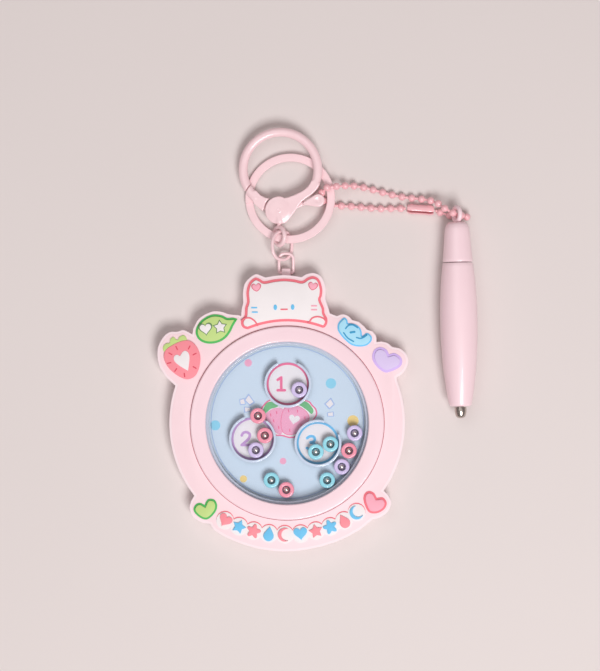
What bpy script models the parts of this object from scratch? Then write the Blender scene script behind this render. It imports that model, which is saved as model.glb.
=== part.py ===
"""Magnetic bead-maze keychain.

It lies flat with the window up: +Z out of the window, +Y from the pod to the clasp, +X to the pen. The origin is
the centre of the pod's back. Constants are in millimetres, and mm() turns them into metres.
"""

import math

import bmesh
import bpy
from mathutils import Matrix, Vector

# Driving dimensions, in millimetres.
ROUND_STEPS = 48            # sides of the large turned pieces
SMALL_STEPS = 12            # sides of the small turned pieces
GAP = 0.3                   # clearance between pieces that touch

PLATE_RADIUS = 39.4         # round part of the rubber frame
PLATE_TOP = 6.6
POD_HOLE_RADIUS = 32.8
POD_RADIUS = 32.4
WINDOW_RADIUS = 27.2
BEZEL_TOP = 7.8
TRAY_RADIUS = 28.8
TRAY_WALL = (26.3, 27.0)    # inner and outer radius
TRAY_FLOOR = (2.1, 2.8)     # underside and top
WELL_RADIUS = 7.9           # outside of the wall
WELL_WALL = 0.8

BEAD_RADIUS = 2.65
BEAD_HOLE_RADIUS = 1.35
BEAD_LOW, BEAD_HIGH = 3.0, 5.0
BALL_RADIUS = 1.02

TAB_AXIS = (-0.35, 50.4, 1.75)          # the bail's bottom bar, through the tab
TAB_WIDTH = 3.0
TAB_BORE_RADIUS = 0.85
BAIL_WIRE = 0.5                          # wire radius
BAIL_HALF_WIDTH, BAIL_HEIGHT = 2.4, 6.5  # on the wire's centreline
BAIL_TILT = 9.7                          # degrees up from the table

LINK_CENTRE = (-1.7, 59.45, 3.2)
LINK_WIRE = 0.55
LINK_HALF_LENGTH = 4.7
LINK_HALF_WIDTH = 4.16
LINK_TILT = 38.6                         # degrees, left side up

EYE_CENTRE = (-2.6, 62.7, 3.3)
EYE_RADIUS, EYE_WIRE = 3.05, 0.75
EYE_TILT = 53.0                          # degrees, right side up
STEM_RADIUS = 0.75

KEY_RING_CENTRE = (1.0, 75.3, 2.42)
KEY_RING_RADIUS = 13.8
KEY_RING_WIDTH, KEY_RING_THICK, KEY_RING_PITCH = 2.6, 0.5, 0.6
KEY_RING_SLOPE = (0.079, -0.054)           # rise along X and along Y
KEY_RING_RAMP = 200.0                    # degrees, where one turn climbs on to the other

CLASP_SLOPE = (0.05, 0.05)
CLASP_HALF_THICK = 1.3
HOOP_CENTRE = (-2.2, 84.9)
HOOP_RADIUS, HOOP_WIRE = 12.55, 1.55     # centreline, and half its width in plan
RIVET = (-2.7, 71.3)
SLOT_HALF = 0.85
GATE_REACH = 13.0                        # from the rivet to the joint between gate and hoop

CHAIN_RADIUS = 1.2
PEN_TOP, PEN_NOSE = (56.8, 67.3, 6.25), (58.05, 1.6, 6.25)
EYELET_RADIUS, EYELET_WIRE = 2.3, 0.75
EYELET_TURN = 115.0                      # degrees about the pen's axis, from flat

# The twelve beads: colour, and place in plan.
BEADS = [
    ("lilac", (4.0, 11.1)),
    ("rose", (-9.8, 2.4)),
    ("rose", (-7.5, -4.2)),
    ("lilac", (-10.5, -9.1)),
    ("aqua", (9.6, -9.7)),
    ("aqua", (14.5, -7.1)),
    ("lilac", (22.6, -3.4)),
    ("rose", (20.7, -9.3)),
    ("lilac", (18.3, -14.7)),
    ("aqua", (13.4, -19.2)),
    ("aqua", (-5.3, -19.2)),
    ("rose", (-0.3, -22.4)),
]

# The three wells: centre in plan, and the angles that their gap runs between, in degrees.
WELLS = [((0.2, 13.0), 62, 118), ((-11.6, -5.4), 50, 112), ((10.3, -6.8), 20, 75)]

# The chain's route from one end of its connector to the other, in millimetres.
CHAIN_ROUTE = [
    (39.8, 72.0, 1.5), (36.0, 72.0, 1.25), (31.0, 71.95, 1.25), (26.0, 72.3, 1.25), (21.0, 72.75, 1.25),
    (17.0, 72.95, 1.25), (14.4, 73.2, 1.3), (12.4, 74.2, 1.6), (11.5, 76.3, 2.6), (12.2, 78.2, 4.9),
    (13.9, 79.0, 5.7), (15.9, 79.2, 5.3), (18.2, 79.4, 4.2), (21.0, 79.6, 2.7), (24.5, 79.3, 1.6),
    (28.5, 78.4, 1.25), (33.0, 77.2, 1.25), (38.0, 76.0, 1.25), (43.0, 75.4, 1.3), (47.0, 74.9, 2.2),
    (50.0, 73.9, 4.2), (52.2, 72.2, 6.4), (54.3, 70.7, 7.35), (56.85, 69.9, 6.25), (59.2, 69.3, 4.9),
    (60.3, 69.1, 3.1), (59.3, 69.1, 1.6), (56.8, 69.3, 1.25), (54.0, 69.8, 1.25), (51.6, 70.6, 1.3),
    (49.9, 71.3, 1.5),
]
CHAIN_STEP = 2.4

COLOURS = {
    "blush": (0.98, 0.75, 0.79), "metal_pink": (0.97, 0.66, 0.68), "chain_pink": (0.92, 0.50, 0.54),
    "pale_blue": (0.60, 0.75, 0.88), "clear": (0.90, 0.95, 1.0), "coral": (1.0, 0.36, 0.42),
    "white": (0.95, 0.93, 0.93), "leaf": (0.55, 0.75, 0.25), "sky": (0.50, 0.80, 0.95),
    "purple": (0.72, 0.58, 0.84), "rose": (0.98, 0.34, 0.42), "lilac": (0.68, 0.58, 0.86),
    "aqua": (0.31, 0.68, 0.83), "steel": (0.60, 0.58, 0.56), "pen": (0.98, 0.72, 0.76),
}


def mm(*values):
    """A vector in metres from values in millimetres."""
    return Vector([v * 0.001 for v in values])


def material(name, metallic=0.0, roughness=0.45):
    """The Principled material of one of the named colours."""
    found = bpy.data.materials.get(name)
    if found:
        return found
    made = bpy.data.materials.new(name)
    made.use_nodes = True
    shader = made.node_tree.nodes["Principled BSDF"]
    shader.inputs["Base Color"].default_value = (*COLOURS[name], 1.0)
    shader.inputs["Metallic"].default_value = metallic
    shader.inputs["Roughness"].default_value = roughness
    if name == "clear":
        shader.inputs["Alpha"].default_value = 0.3
    return made


def empty(name, place, turn=None):
    """An empty that a moving piece's parts are parented to; place is in millimetres."""
    made = bpy.data.objects.new(name, None)
    bpy.context.collection.objects.link(made)
    made.matrix_world = Matrix.Translation(mm(*place)) @ (turn or Matrix())
    return made


def add(name, bm, colour, parent=None, metallic=0.0, roughness=0.45):
    """Makes an object of a bmesh whose points are in its parent's frame, in millimetres."""
    bmesh.ops.scale(bm, vec=(0.001, 0.001, 0.001), verts=bm.verts)
    bmesh.ops.recalc_face_normals(bm, faces=bm.faces)
    mesh = bpy.data.meshes.new(name)
    bm.to_mesh(mesh)
    bm.free()
    mesh.shade_smooth()
    mesh.set_sharp_from_angle(angle=math.radians(35))
    mesh.materials.append(material(colour, metallic, roughness))
    made = bpy.data.objects.new(name, mesh)
    bpy.context.collection.objects.link(made)
    made.parent = parent
    return made


def turned(profile, steps=ROUND_STEPS):
    """A profile of (radius, height) turned about Z; one that starts on the axis also ends on it."""
    bm = bmesh.new()
    verts = [bm.verts.new((r, 0, z)) for r, z in profile]
    edges = [bm.edges.new(pair) for pair in zip(verts, verts[1:])]
    if profile[0][0] > 0:
        edges.append(bm.edges.new((verts[-1], verts[0])))
    bmesh.ops.spin(
        bm, geom=verts + edges, cent=(0, 0, 0), axis=(0, 0, 1), angle=math.tau, steps=steps, use_merge=True
    )
    bmesh.ops.remove_doubles(bm, verts=bm.verts, dist=0.0001)
    return bm


def plate(outlines, low, high):
    """A flat shape extruded from low to high: the first outline is its edge, the others are its holes."""
    bm = bmesh.new()
    edges = []
    for outline in outlines:
        verts = [bm.verts.new((x, y, low)) for x, y in outline]
        edges += [bm.edges.new(pair) for pair in zip(verts, verts[1:] + verts[:1])]
    bmesh.ops.triangle_fill(bm, use_beauty=True, edges=edges)
    raised = bmesh.ops.extrude_face_region(bm, geom=bm.faces[:])["geom"]
    moved = [v for v in raised if isinstance(v, bmesh.types.BMVert)]
    bmesh.ops.translate(bm, vec=(0, 0, high - low), verts=moved)
    return bm


def arc(centre, radius, start, end, steps):
    """Points on an arc between two angles in degrees, both ends included."""
    angles = [math.radians(start + (end - start) * i / steps) for i in range(steps + 1)]
    return [(centre[0] + radius * math.cos(a), centre[1] + radius * math.sin(a)) for a in angles]


def smooth(points, steps=2, closed=False):
    """A Catmull-Rom curve through the points."""
    around = [Vector(p) for p in points]
    if closed:
        around = [around[-1]] + around + around[:2]
    else:
        around = [2 * around[0] - around[1]] + around + [2 * around[-1] - around[-2]]
    made = []
    for a, b, c, d in zip(around, around[1:], around[2:], around[3:]):
        for i in range(steps):
            t = i / steps
            made.append(
                0.5 * (2 * b + (c - a) * t + (2 * a - 5 * b + 4 * c - d) * t**2 + (3 * b - a - 3 * c + d) * t**3)
            )
    if not closed:
        made.append(around[-2])
    return [tuple(p) for p in made]


def wire(name, points, radius, colour, parent=None, closed=True, sides=2):
    """A round wire along the points, in millimetres in its parent's frame."""
    curve = bpy.data.curves.new(name, "CURVE")
    curve.dimensions = "3D"
    curve.bevel_depth = radius * 0.001
    curve.bevel_resolution = sides
    curve.use_fill_caps = not closed
    spline = curve.splines.new("POLY")
    spline.points.add(len(points) - 1)
    for point, place in zip(spline.points, points):
        point.co = (*mm(*place), 1.0)
    spline.use_cyclic_u = closed
    curve.materials.append(material(colour, 0.3, 0.35))
    made = bpy.data.objects.new(name, curve)
    bpy.context.collection.objects.link(made)
    made.parent = parent
    return made


def swept(section, frames, closed=False):
    """A closed section of (across, up) points carried along frames of (place, across, up)."""
    bm = bmesh.new()
    rings = []
    for place, across, up in frames:
        rings.append([bm.verts.new(place + across * a + up * u) for a, u in section])
    pairs = list(zip(rings, rings[1:]))
    if closed:
        pairs.append((rings[-1], rings[0]))
    for one, two in pairs:
        for i in range(len(section)):
            bm.faces.new((one[i - 1], one[i], two[i], two[i - 1]))
    if not closed:
        bm.faces.new(rings[0])
        bm.faces.new(rings[-1][::-1])
    return bm


def combine(target, tool, operation):
    """Joins the tool to the target, or cuts it out, and removes the tool."""
    modifier = target.modifiers.new(operation.lower(), "BOOLEAN")
    modifier.operation = operation
    modifier.solver = "EXACT"
    modifier.object = tool
    bpy.context.view_layer.update()
    shape = bpy.data.meshes.new_from_object(target.evaluated_get(bpy.context.evaluated_depsgraph_get()))
    target.modifiers.clear()
    target.data = shape
    bpy.data.objects.remove(tool)


def tilt(slope_x, slope_y):
    """The turn that gives a flat piece these rises along X and along Y."""
    normal = Vector((-slope_x, -slope_y, 1.0)).normalized()
    across = Vector((0, 1, 0)).cross(normal).normalized()
    return Matrix((across, normal.cross(across), normal)).transposed().to_4x4()


def ellipse(half_width, half_height, count=8):
    """A section of (across, up) points."""
    angles = [math.tau * i / count for i in range(count)]
    return [(half_width * math.cos(a), half_height * math.sin(a)) for a in angles]


def flat_arc_frames(centre, radius, start, end, steps):
    """Frames for swept() along an arc that lies flat."""
    made = []
    for i in range(steps + 1):
        a = math.radians(start + (end - start) * i / steps)
        out = Vector((math.cos(a), math.sin(a), 0))
        made.append((Vector((*centre, 0)) + out * radius, out, Vector((0, 0, 1))))
    return made


def frame_outline():
    """The rubber frame's edge, clockwise from the lower left: lobes joined by arcs of the round plate."""
    left = arc((0, 0), PLATE_RADIUS, 218, 161.5, 14)
    strawberry = smooth([
        (-40.6, 15.5), (-42.9, 19.6), (-43.3, 24.6), (-41.6, 28.5), (-39.3, 30.4), (-36.6, 30.6), (-34.6, 31.1),
        (-31.7, 29.7),
    ])
    leaf = smooth([
        (-31.4, 31.6), (-29.4, 35.0), (-25.4, 37.2), (-22.3, 37.3), (-19.3, 36.4), (-16.4, 36.1), (-15.4, 35.8),
    ])
    head_left = smooth([
        (-15.2, 38.2), (-14.7, 40.4), (-14.8, 43.4), (-13.9, 47.1), (-10.8, 49.7), (-8.7, 49.3), (-7.3, 48.7),
    ])
    head_top = smooth([(-4.6, 49.2), (-1.1, 49.5), (2.4, 49.2), (4.8, 48.8)])
    head_right = smooth([
        (6.4, 49.8), (8.9, 50.2), (11.4, 48.9), (12.8, 45.3), (12.8, 41.6), (13.6, 39.0), (14.3, 36.7),
    ])
    bow = smooth([(16.6, 35.8), (18.6, 36.4), (20.4, 35.8), (21.7, 34.5)])
    bow += smooth([(23.9, 33.9), (25.7, 32.4), (26.6, 31.3)])
    bow += smooth([(28.5, 30.7), (29.7, 29.1), (29.9, 27.1)])
    heart = smooth([
        (31.6, 27.3), (33.7, 26.7), (35.2, 25.5), (37.8, 24.9), (40.0, 22.8), (40.4, 19.8), (38.9, 16.9), (36.6, 15.3),
    ])
    right = arc((0, 0), PLATE_RADIUS, 21, -35, 14)
    pink_heart = smooth([(33.8, -24.1), (34.8, -26.6), (33.7, -29.5), (31.3, -31.4), (28.4, -32.3)])
    row = smooth([
        (24.6, -35.5), (18.0, -39.0), (9.8, -41.6), (0.5, -42.9), (-9.0, -42.1), (-17.5, -39.5), (-23.8, -36.2),
        (-25.7, -33.7),
    ])
    green_heart = smooth([(-28.3, -33.3), (-31.3, -31.5), (-32.6, -28.6), (-32.2, -26.2)])
    return (
        left + strawberry + leaf + head_left + head_top + head_right + bow + heart + right + pink_heart + row
        + green_heart
    )


def rubber_frame():
    """The lobed frame: its hole has a thin lip half way up that snaps into the pod's groove."""
    hole = arc((0, 0), POD_HOLE_RADIUS, 0, 354, 59)
    body = add("rubber_frame", plate([frame_outline(), hole], 0, PLATE_TOP), "blush")
    lip = [(32.1, 2.4), (32.1, 3.0), (33.4, 3.2), (33.4, 2.2)]
    combine(body, add("lip", turned(lip), "blush"), "UNION")
    x, y, z = TAB_AXIS
    half = TAB_WIDTH / 2
    tab = [
        (x - half, 47.0), (x + half, 47.0), (x + half, 51.2), (x + half - 0.5, 51.8), (x - half + 0.5, 51.8),
        (x - half, 51.2),
    ]
    combine(body, add("tab", plate([tab], 0.15, 2 * z - 0.15), "blush"), "UNION")
    bore = turned([(0, -4), (TAB_BORE_RADIUS, -4), (TAB_BORE_RADIUS, 4), (0, 4)], 12)
    bmesh.ops.rotate(bore, cent=(0, 0, 0), matrix=Matrix.Rotation(math.pi / 2, 3, "Y"), verts=bore.verts)
    bmesh.ops.translate(bore, vec=(x, y, z), verts=bore.verts)
    combine(body, add("bore", bore, "blush"), "DIFFERENCE")


def pod():
    """Back shell, card, tray with its wells, lid and bezel, stacked up from the table."""
    add("pod_back_shell", turned([
        (0, 0), (31.9, 0), (POD_RADIUS, 0.5), (POD_RADIUS, 2.1), (31.8, 2.1), (31.8, 3.3), (POD_RADIUS, 3.3),
        (POD_RADIUS, 4.6), (31.1, 4.6), (31.1, 1.2), (0, 1.2),
    ]), "blush")
    card = turned([(0, 1.5), (TRAY_RADIUS, 1.5), (TRAY_RADIUS, 1.8), (0, 1.8)])
    add("printed_card", card, "pale_blue", roughness=0.6)
    low, high = TRAY_FLOOR
    inner, outer = TRAY_WALL
    tray = add("clear_tray", turned([
        (0, low), (TRAY_RADIUS, low), (TRAY_RADIUS, high), (outer, high), (outer, 5.5), (inner, 5.5), (inner, high),
        (0, high),
    ]), "clear", roughness=0.05)
    for centre, start, end in WELLS:
        ring = arc(centre, WELL_RADIUS, end, start + 360, 14)
        ring += arc(centre, WELL_RADIUS - WELL_WALL, start + 360, end, 14)
        combine(tray, add("well", plate([ring], high - 0.2, 4.9), "clear"), "UNION")
    add("clear_lid", turned([
        (0, 5.4), (25.2, 5.4), (25.5, 5.8), (TRAY_RADIUS, 5.8), (TRAY_RADIUS, 6.6), (0, 6.6),
    ]), "clear", roughness=0.05)
    add("bezel_ring", turned([
        (WINDOW_RADIUS, 6.9), (WINDOW_RADIUS, 7.4), (27.7, BEZEL_TOP), (31.8, BEZEL_TOP), (POD_RADIUS, 7.3),
        (POD_RADIUS, 4.9), (29.2, 4.9), (29.2, 6.9),
    ]), "blush")


def inlays():
    """The raised colour fills of the frame, a little above its face."""
    low, high = PLATE_TOP + GAP, PLATE_TOP + GAP + 0.5
    cat = smooth([
        (-14.9, 32.2), (-15.4, 33.6), (-14.2, 35.4), (-14.0, 38.6), (-13.4, 40.6), (-13.6, 43.8), (-12.7, 46.9),
        (-10.7, 48.6), (-9.0, 48.1), (-7.6, 47.4), (-4.4, 48.0), (-1.1, 48.3), (2.4, 48.0), (5.0, 47.5), (6.8, 48.6),
        (8.8, 49.1), (10.7, 48.0), (11.7, 45.0), (11.6, 42.6), (11.2, 41.2), (12.4, 38.6), (12.4, 36.2), (13.1, 34.4),
        (12.5, 32.6),
    ], 2)
    cat += arc((0, 0), 34.0, 69, 113, 12)
    strawberry = smooth([
        (-40.6, 24.4), (-41.3, 25.6), (-39.4, 26.9), (-38.2, 28.6), (-36.7, 27.9), (-34.7, 29.1), (-33.7, 27.8),
        (-31.5, 27.0), (-29.4, 24.0), (-29.1, 20.5), (-30.2, 16.6), (-33.3, 14.7), (-37.4, 16.5), (-40.6, 20.0),
    ], 2, True)
    leaf = smooth([
        (-16.8, 34.7), (-19.8, 35.3), (-22.5, 36.2), (-26.4, 35.7), (-29.6, 33.2), (-30.5, 29.9), (-28.6, 27.2),
        (-25.0, 26.7), (-21.0, 28.3), (-18.9, 31.0),
    ], 2, True)
    bow = smooth([
        (18.7, 35.1), (17.1, 33.2), (17.1, 30.8), (19.2, 28.1), (22.0, 26.0), (25.2, 25.7), (27.9, 27.2), (28.0, 29.2),
        (26.6, 30.0), (24.9, 29.2), (24.6, 31.4), (22.6, 33.1), (20.4, 33.4), (19.9, 34.7),
    ], 2, True)
    purple = smooth([
        (34.1, 22.9), (32.8, 24.7), (30.9, 25.3), (28.9, 24.0), (28.5, 21.5), (30.0, 18.6), (32.3, 17.0), (36.0, 17.9),
        (38.2, 19.6), (38.3, 21.8), (36.3, 23.4),
    ], 2, True)
    green = smooth([
        (-27.6, -27.2), (-26.3, -25.4), (-24.4, -25.7), (-23.4, -27.5), (-24.4, -30.2), (-26.4, -32.0),
        (-28.7, -31.8), (-30.9, -30.0), (-31.1, -28.0), (-29.4, -26.8),
    ], 2, True)
    pink = smooth([
        (29.9, -24.9), (28.6, -23.0), (26.8, -22.9), (25.6, -24.9), (26.2, -27.6), (27.6, -29.8), (30.6, -29.9),
        (32.7, -28.3), (33.1, -26.2), (31.7, -25.0),
    ], 2, True)
    row = arc((0, 0), 40.0, 234, 308, 20) + arc((0, 0), 34.2, 308, 234, 20)
    outlines = [
        ("cat_face", cat, "white"), ("strawberry", strawberry, "coral"), ("leaf_bubble", leaf, "leaf"),
        ("ribbon_bow", bow, "sky"), ("purple_heart", purple, "purple"), ("green_heart", green, "leaf"),
        ("pink_heart", pink, "coral"), ("charm_row", row, "white"),
    ]
    for name, outline, colour in outlines:
        add(name, plate([outline], low, high), colour)


def beads():
    """Twelve ring beads on the tray's floor, each round a steel ball that turns in its hole."""
    middle = (BEAD_RADIUS + BEAD_HOLE_RADIUS) / 2
    for number, (colour, (x, y)) in enumerate(BEADS, 1):
        place = empty(f"bead_{number:02d}_place", (x, y, 0))
        add(f"bead_ring_{number:02d}", turned([
            (BEAD_HOLE_RADIUS, 3.5), (middle - 0.3, BEAD_LOW), (middle + 0.3, BEAD_LOW), (BEAD_RADIUS, 3.6),
            (BEAD_RADIUS, 4.4), (middle + 0.3, BEAD_HIGH), (middle - 0.3, BEAD_HIGH), (BEAD_HOLE_RADIUS, 4.5),
        ], SMALL_STEPS), colour, place)
        ball = bmesh.new()
        bmesh.ops.create_icosphere(ball, subdivisions=1, radius=BALL_RADIUS)
        bmesh.ops.translate(ball, vec=(0, 0, BEAD_LOW + BALL_RADIUS - 0.05), verts=ball.verts)
        add(f"bead_ball_{number:02d}", ball, "steel", place, 1.0, 0.2)


def bail_and_link():
    """The bail through the frame's tab, and the oval link that hangs in it."""
    place = empty("bail_axis", TAB_AXIS, Matrix.Rotation(math.radians(BAIL_TILT), 4, "X"))
    w, h, top, low = BAIL_HALF_WIDTH, BAIL_HEIGHT, 1.9, 0.7
    loop = arc((w - top, h - top), top, 0, 90, 6) + arc((-w + top, h - top), top, 90, 180, 6)
    loop += arc((-w + low, low), low, 180, 270, 3) + arc((w - low, low), low, 270, 360, 3)
    wire("bail", [(x, y, 0) for x, y in loop], BAIL_WIRE, "metal_pink", place)
    place = empty("link_place", LINK_CENTRE, Matrix.Rotation(math.radians(LINK_TILT), 4, "Y"))
    angles = [math.tau * i / 24 for i in range(24)]
    oval = []
    for a in angles:
        across, along = math.cos(a), math.sin(a)
        oval.append((
            math.copysign(abs(across) ** 0.87, across) * LINK_HALF_WIDTH,
            math.copysign(abs(along) ** 0.87, along) * LINK_HALF_LENGTH, 0,
        ))
    wire("oval_link", oval, LINK_WIRE, "metal_pink", place)


def in_clasp(x, y):
    """A place in plan, in the clasp's own frame, whose origin is the eye's centre."""
    return x - EYE_CENTRE[0], y - EYE_CENTRE[1]


def swivel_eye(place):
    """The eye: a ring on a stem whose head is held in the clasp's hollow neck."""
    turn = Matrix.Rotation(-math.radians(EYE_TILT), 3, "Y")
    frames = []
    for i in range(20):
        a = math.tau * i / 20
        out = turn @ Vector((math.cos(a), math.sin(a), 0))
        frames.append((out * EYE_RADIUS, out, turn @ Vector((0, 0, 1))))
    eye = add("swivel_eye", swept(ellipse(EYE_WIRE, EYE_WIRE, 8), frames, True), "metal_pink", place, 0.3, 0.35)
    base = EYE_RADIUS
    stem = turned([
        (0, base), (STEM_RADIUS, base), (STEM_RADIUS, base + 2.65), (1.25, base + 2.65), (1.25, base + 3.4),
        (0, base + 3.4),
    ], 12)
    bmesh.ops.rotate(stem, cent=(0, 0, 0), matrix=Matrix.Rotation(-math.pi / 2, 3, "X"), verts=stem.verts)
    combine(eye, add("stem", stem, "metal_pink", place), "UNION")


def reach_of_gate(place, centre, radius):
    """A disc about the rivet: the gate ends inside it, and the hoop begins outside it."""
    disc = plate([arc(centre, radius, 0, 355, 71)], -2.0, 2.0)
    return add("reach", disc, "metal_pink", place)


def clasp(place):
    """The clasp's cast body: hoop, arm, slotted pivot boss and hollow neck."""
    half = CLASP_HALF_THICK
    centre = in_clasp(*HOOP_CENTRE)
    boss = in_clasp(*RIVET)
    body = add(
        "clasp_body", swept(ellipse(HOOP_WIRE, half), flat_arc_frames(centre, HOOP_RADIUS, 214, -30, 32)),
        "metal_pink", place, 0.3, 0.35,
    )
    combine(body, reach_of_gate(place, boss, GATE_REACH), "DIFFERENCE")
    outline = arc(boss, 4.7, 75, 235, 14) + [in_clasp(-4.7, 67.0), in_clasp(-0.6, 67.0), in_clasp(0.7, 68.2)]
    outline += smooth([in_clasp(2.7, 70.9), in_clasp(5.0, 74.4), in_clasp(7.8, 76.9), in_clasp(10.3, 79.5)])
    outline += smooth([in_clasp(7.2, 80.6), in_clasp(3.9, 77.2), in_clasp(1.0, 75.9), in_clasp(-1.0, 75.4)])
    combine(body, add("arm", plate([outline], -half, half), "metal_pink", place), "UNION")
    neck = turned([(0, 4.1), (2.0, 4.1), (2.15, 4.6), (2.15, 6.6), (1.5, 7.4), (0, 7.4)], 16)
    bore = turned([(0, 3.7), (1.05, 3.7), (1.05, 5.3), (1.55, 5.4), (1.55, 6.8), (0, 6.8)], 12)
    for tool, operation in ((neck, "UNION"), (bore, "DIFFERENCE")):
        bmesh.ops.rotate(tool, cent=(0, 0, 0), matrix=Matrix.Rotation(-math.pi / 2, 3, "X"), verts=tool.verts)
        combine(body, add("tool", tool, "metal_pink", place), operation)
    slot = [in_clasp(-9.0, 69.6), in_clasp(-4.0, 69.0), in_clasp(0.2, 68.9), in_clasp(8.0, 66.0)]
    slot += [in_clasp(8.0, 76.0), in_clasp(2.0, 74.2), in_clasp(-2.6, 74.8), in_clasp(-4.0, 77.5)]
    slot.append(in_clasp(-9.0, 77.5))
    combine(body, add("slot", plate([slot], -SLOT_HALF, SLOT_HALF), "metal_pink", place), "DIFFERENCE")
    hole = turned([(0, -3), (0.9, -3), (0.9, 3), (0, 3)], 12)
    bmesh.ops.translate(hole, vec=(*boss, 0), verts=hole.verts)
    combine(body, add("hole", hole, "metal_pink", place), "DIFFERENCE")


def gate(clasp_place):
    """The gate and thumb lever on its rivet, and the coil round the rivet that closes it."""
    pivot = in_clasp(*RIVET)
    place = empty("gate_axis", (0, 0, 0))
    place.parent = clasp_place
    place.location = mm(*pivot, 0)

    def at(x, y):
        return x - RIVET[0], y - RIVET[1]

    hoop = at(*HOOP_CENTRE)
    outline = arc((0, 0), 1.85, 200, 320, 8) + [at(2.6, 71.6), at(6.0, 73.0), at(8.2, 73.3), at(8.2, 74.6)]
    outline += [at(6.4, 74.7), at(2.4, 73.5)] + arc((0, 0), 2.9, 50, 110, 4)
    outline += [at(-6.6, 74.0), at(-9.4, 76.6), at(-10.4, 73.7), at(-8.0, 71.6)]
    lever = plate([outline, arc((0, 0), 0.95, 0, 330, 11)], -0.65, -0.15)
    lever = add("gate_lever", lever, "metal_pink", place, 0.3, 0.35)
    tip = plate([[at(6.3, 73.0)] + arc(at(10.5, 74.6), 2.15, -100, 120, 10) + [at(6.3, 74.5)]], 0.2, 1.25)
    riser = plate([[at(6.4, 73.2), at(8.0, 73.3), at(8.0, 74.5), at(6.4, 74.4)]], -0.5, 0.6)
    combine(lever, add("riser", riser, "metal_pink", place), "UNION")
    combine(lever, add("thumb", tip, "metal_pink", place), "UNION")
    curve = swept(ellipse(HOOP_WIRE, CLASP_HALF_THICK), flat_arc_frames(hoop, HOOP_RADIUS, 204, 229, 6))
    curve = add("curve", curve, "metal_pink", place)
    combine(curve, reach_of_gate(place, (0, 0), GATE_REACH - GAP), "INTERSECT")
    combine(lever, curve, "UNION")
    wedge = plate([[
        at(-12.0, 77.4), at(-12.1, 75.4), at(-10.9, 73.5), at(-9.2, 72.0), at(-7.8, 71.2), at(-7.6, 73.0),
        at(-6.9, 74.6), at(-8.6, 76.0), at(-10.4, 78.0),
    ]], -CLASP_HALF_THICK + 0.15, CLASP_HALF_THICK - 0.15)
    combine(lever, add("wedge", wedge, "metal_pink", place), "UNION")
    add("gate_rivet", turned([
        (0, -1.75), (1.1, -1.75), (1.1, -1.55), (0.6, -1.55), (0.6, 1.55), (1.1, 1.55), (1.1, 1.75), (0, 1.75),
    ], 12), "metal_pink", place, 0.3, 0.35)
    coil = []
    for i in range(25):
        a = math.tau * 1.5 * i / 24
        coil.append((1.5 * math.cos(a), 1.5 * math.sin(a), 0.1 + 0.5 * i / 24))
    wire("gate_spring", coil, 0.09, "steel", place, closed=False, sides=1)


def key_ring():
    """A flat split ring: one turn lies on the other, joined by the stretch that climbs between them."""
    place = empty("key_ring_place", KEY_RING_CENTRE, tilt(*KEY_RING_SLOPE))
    half_width, half_thick = KEY_RING_WIDTH / 2, KEY_RING_THICK / 2
    section = [
        (-half_width, -half_thick), (half_width, -half_thick), (half_width, half_thick), (-half_width, half_thick),
    ]
    frames = []
    steps = 72
    start, end, climb = 14.0, 706.0, 24.0
    for i in range(steps + 1):
        turn = start + (end - start) * i / steps
        rise = min(max((turn - 360 + climb / 2) / climb, 0), 1) - 0.5
        a = math.radians(turn + KEY_RING_RAMP)
        out = Vector((math.cos(a), math.sin(a), 0))
        frames.append((out * KEY_RING_RADIUS + Vector((0, 0, rise * KEY_RING_PITCH)), out, Vector((0, 0, 1))))
    add("key_ring", swept(section, frames), "metal_pink", place, 0.3, 0.35)


def chain():
    """The ball chain's outer shape along its route, and the connector that closes it."""
    route = [Vector(p) for p in smooth(CHAIN_ROUTE, 12)]
    spaced = [route[0]]
    for point in route[1:]:
        if (point - spaced[-1]).length >= CHAIN_STEP:
            spaced.append(point)
    if (route[-1] - spaced[-1]).length > CHAIN_STEP / 2:
        spaced.append(route[-1])
    else:
        spaced[-1] = route[-1]
    wire("ball_chain", [tuple(p) for p in spaced], CHAIN_RADIUS, "chain_pink", closed=False)
    start, end = Vector(CHAIN_ROUTE[0]), Vector(CHAIN_ROUTE[-1])
    along = (end - start).normalized()
    side = Vector((0, 0, 1)).cross(along).normalized()
    up = along.cross(side)
    length = (end - start).length - 4 * GAP
    shape = [(0.0, 0.8), (0.06, 1.3), (0.2, 1.5), (0.8, 1.5), (0.94, 1.3), (1.0, 0.8)]
    bm = bmesh.new()
    rings = []
    for share, radius in shape:
        place = start + along * (2 * GAP + length * share)
        section = ellipse(radius * 1.12, radius * 0.95, 12)
        rings.append([bm.verts.new(place + side * a + up * u) for a, u in section])
    for one, two in zip(rings, rings[1:]):
        for i in range(12):
            bm.faces.new((one[i - 1], one[i], two[i], two[i - 1]))
    bm.faces.new(rings[0])
    bm.faces.new(rings[-1][::-1])
    add("chain_connector", bm, "chain_pink", None, 0.3, 0.35)


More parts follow.
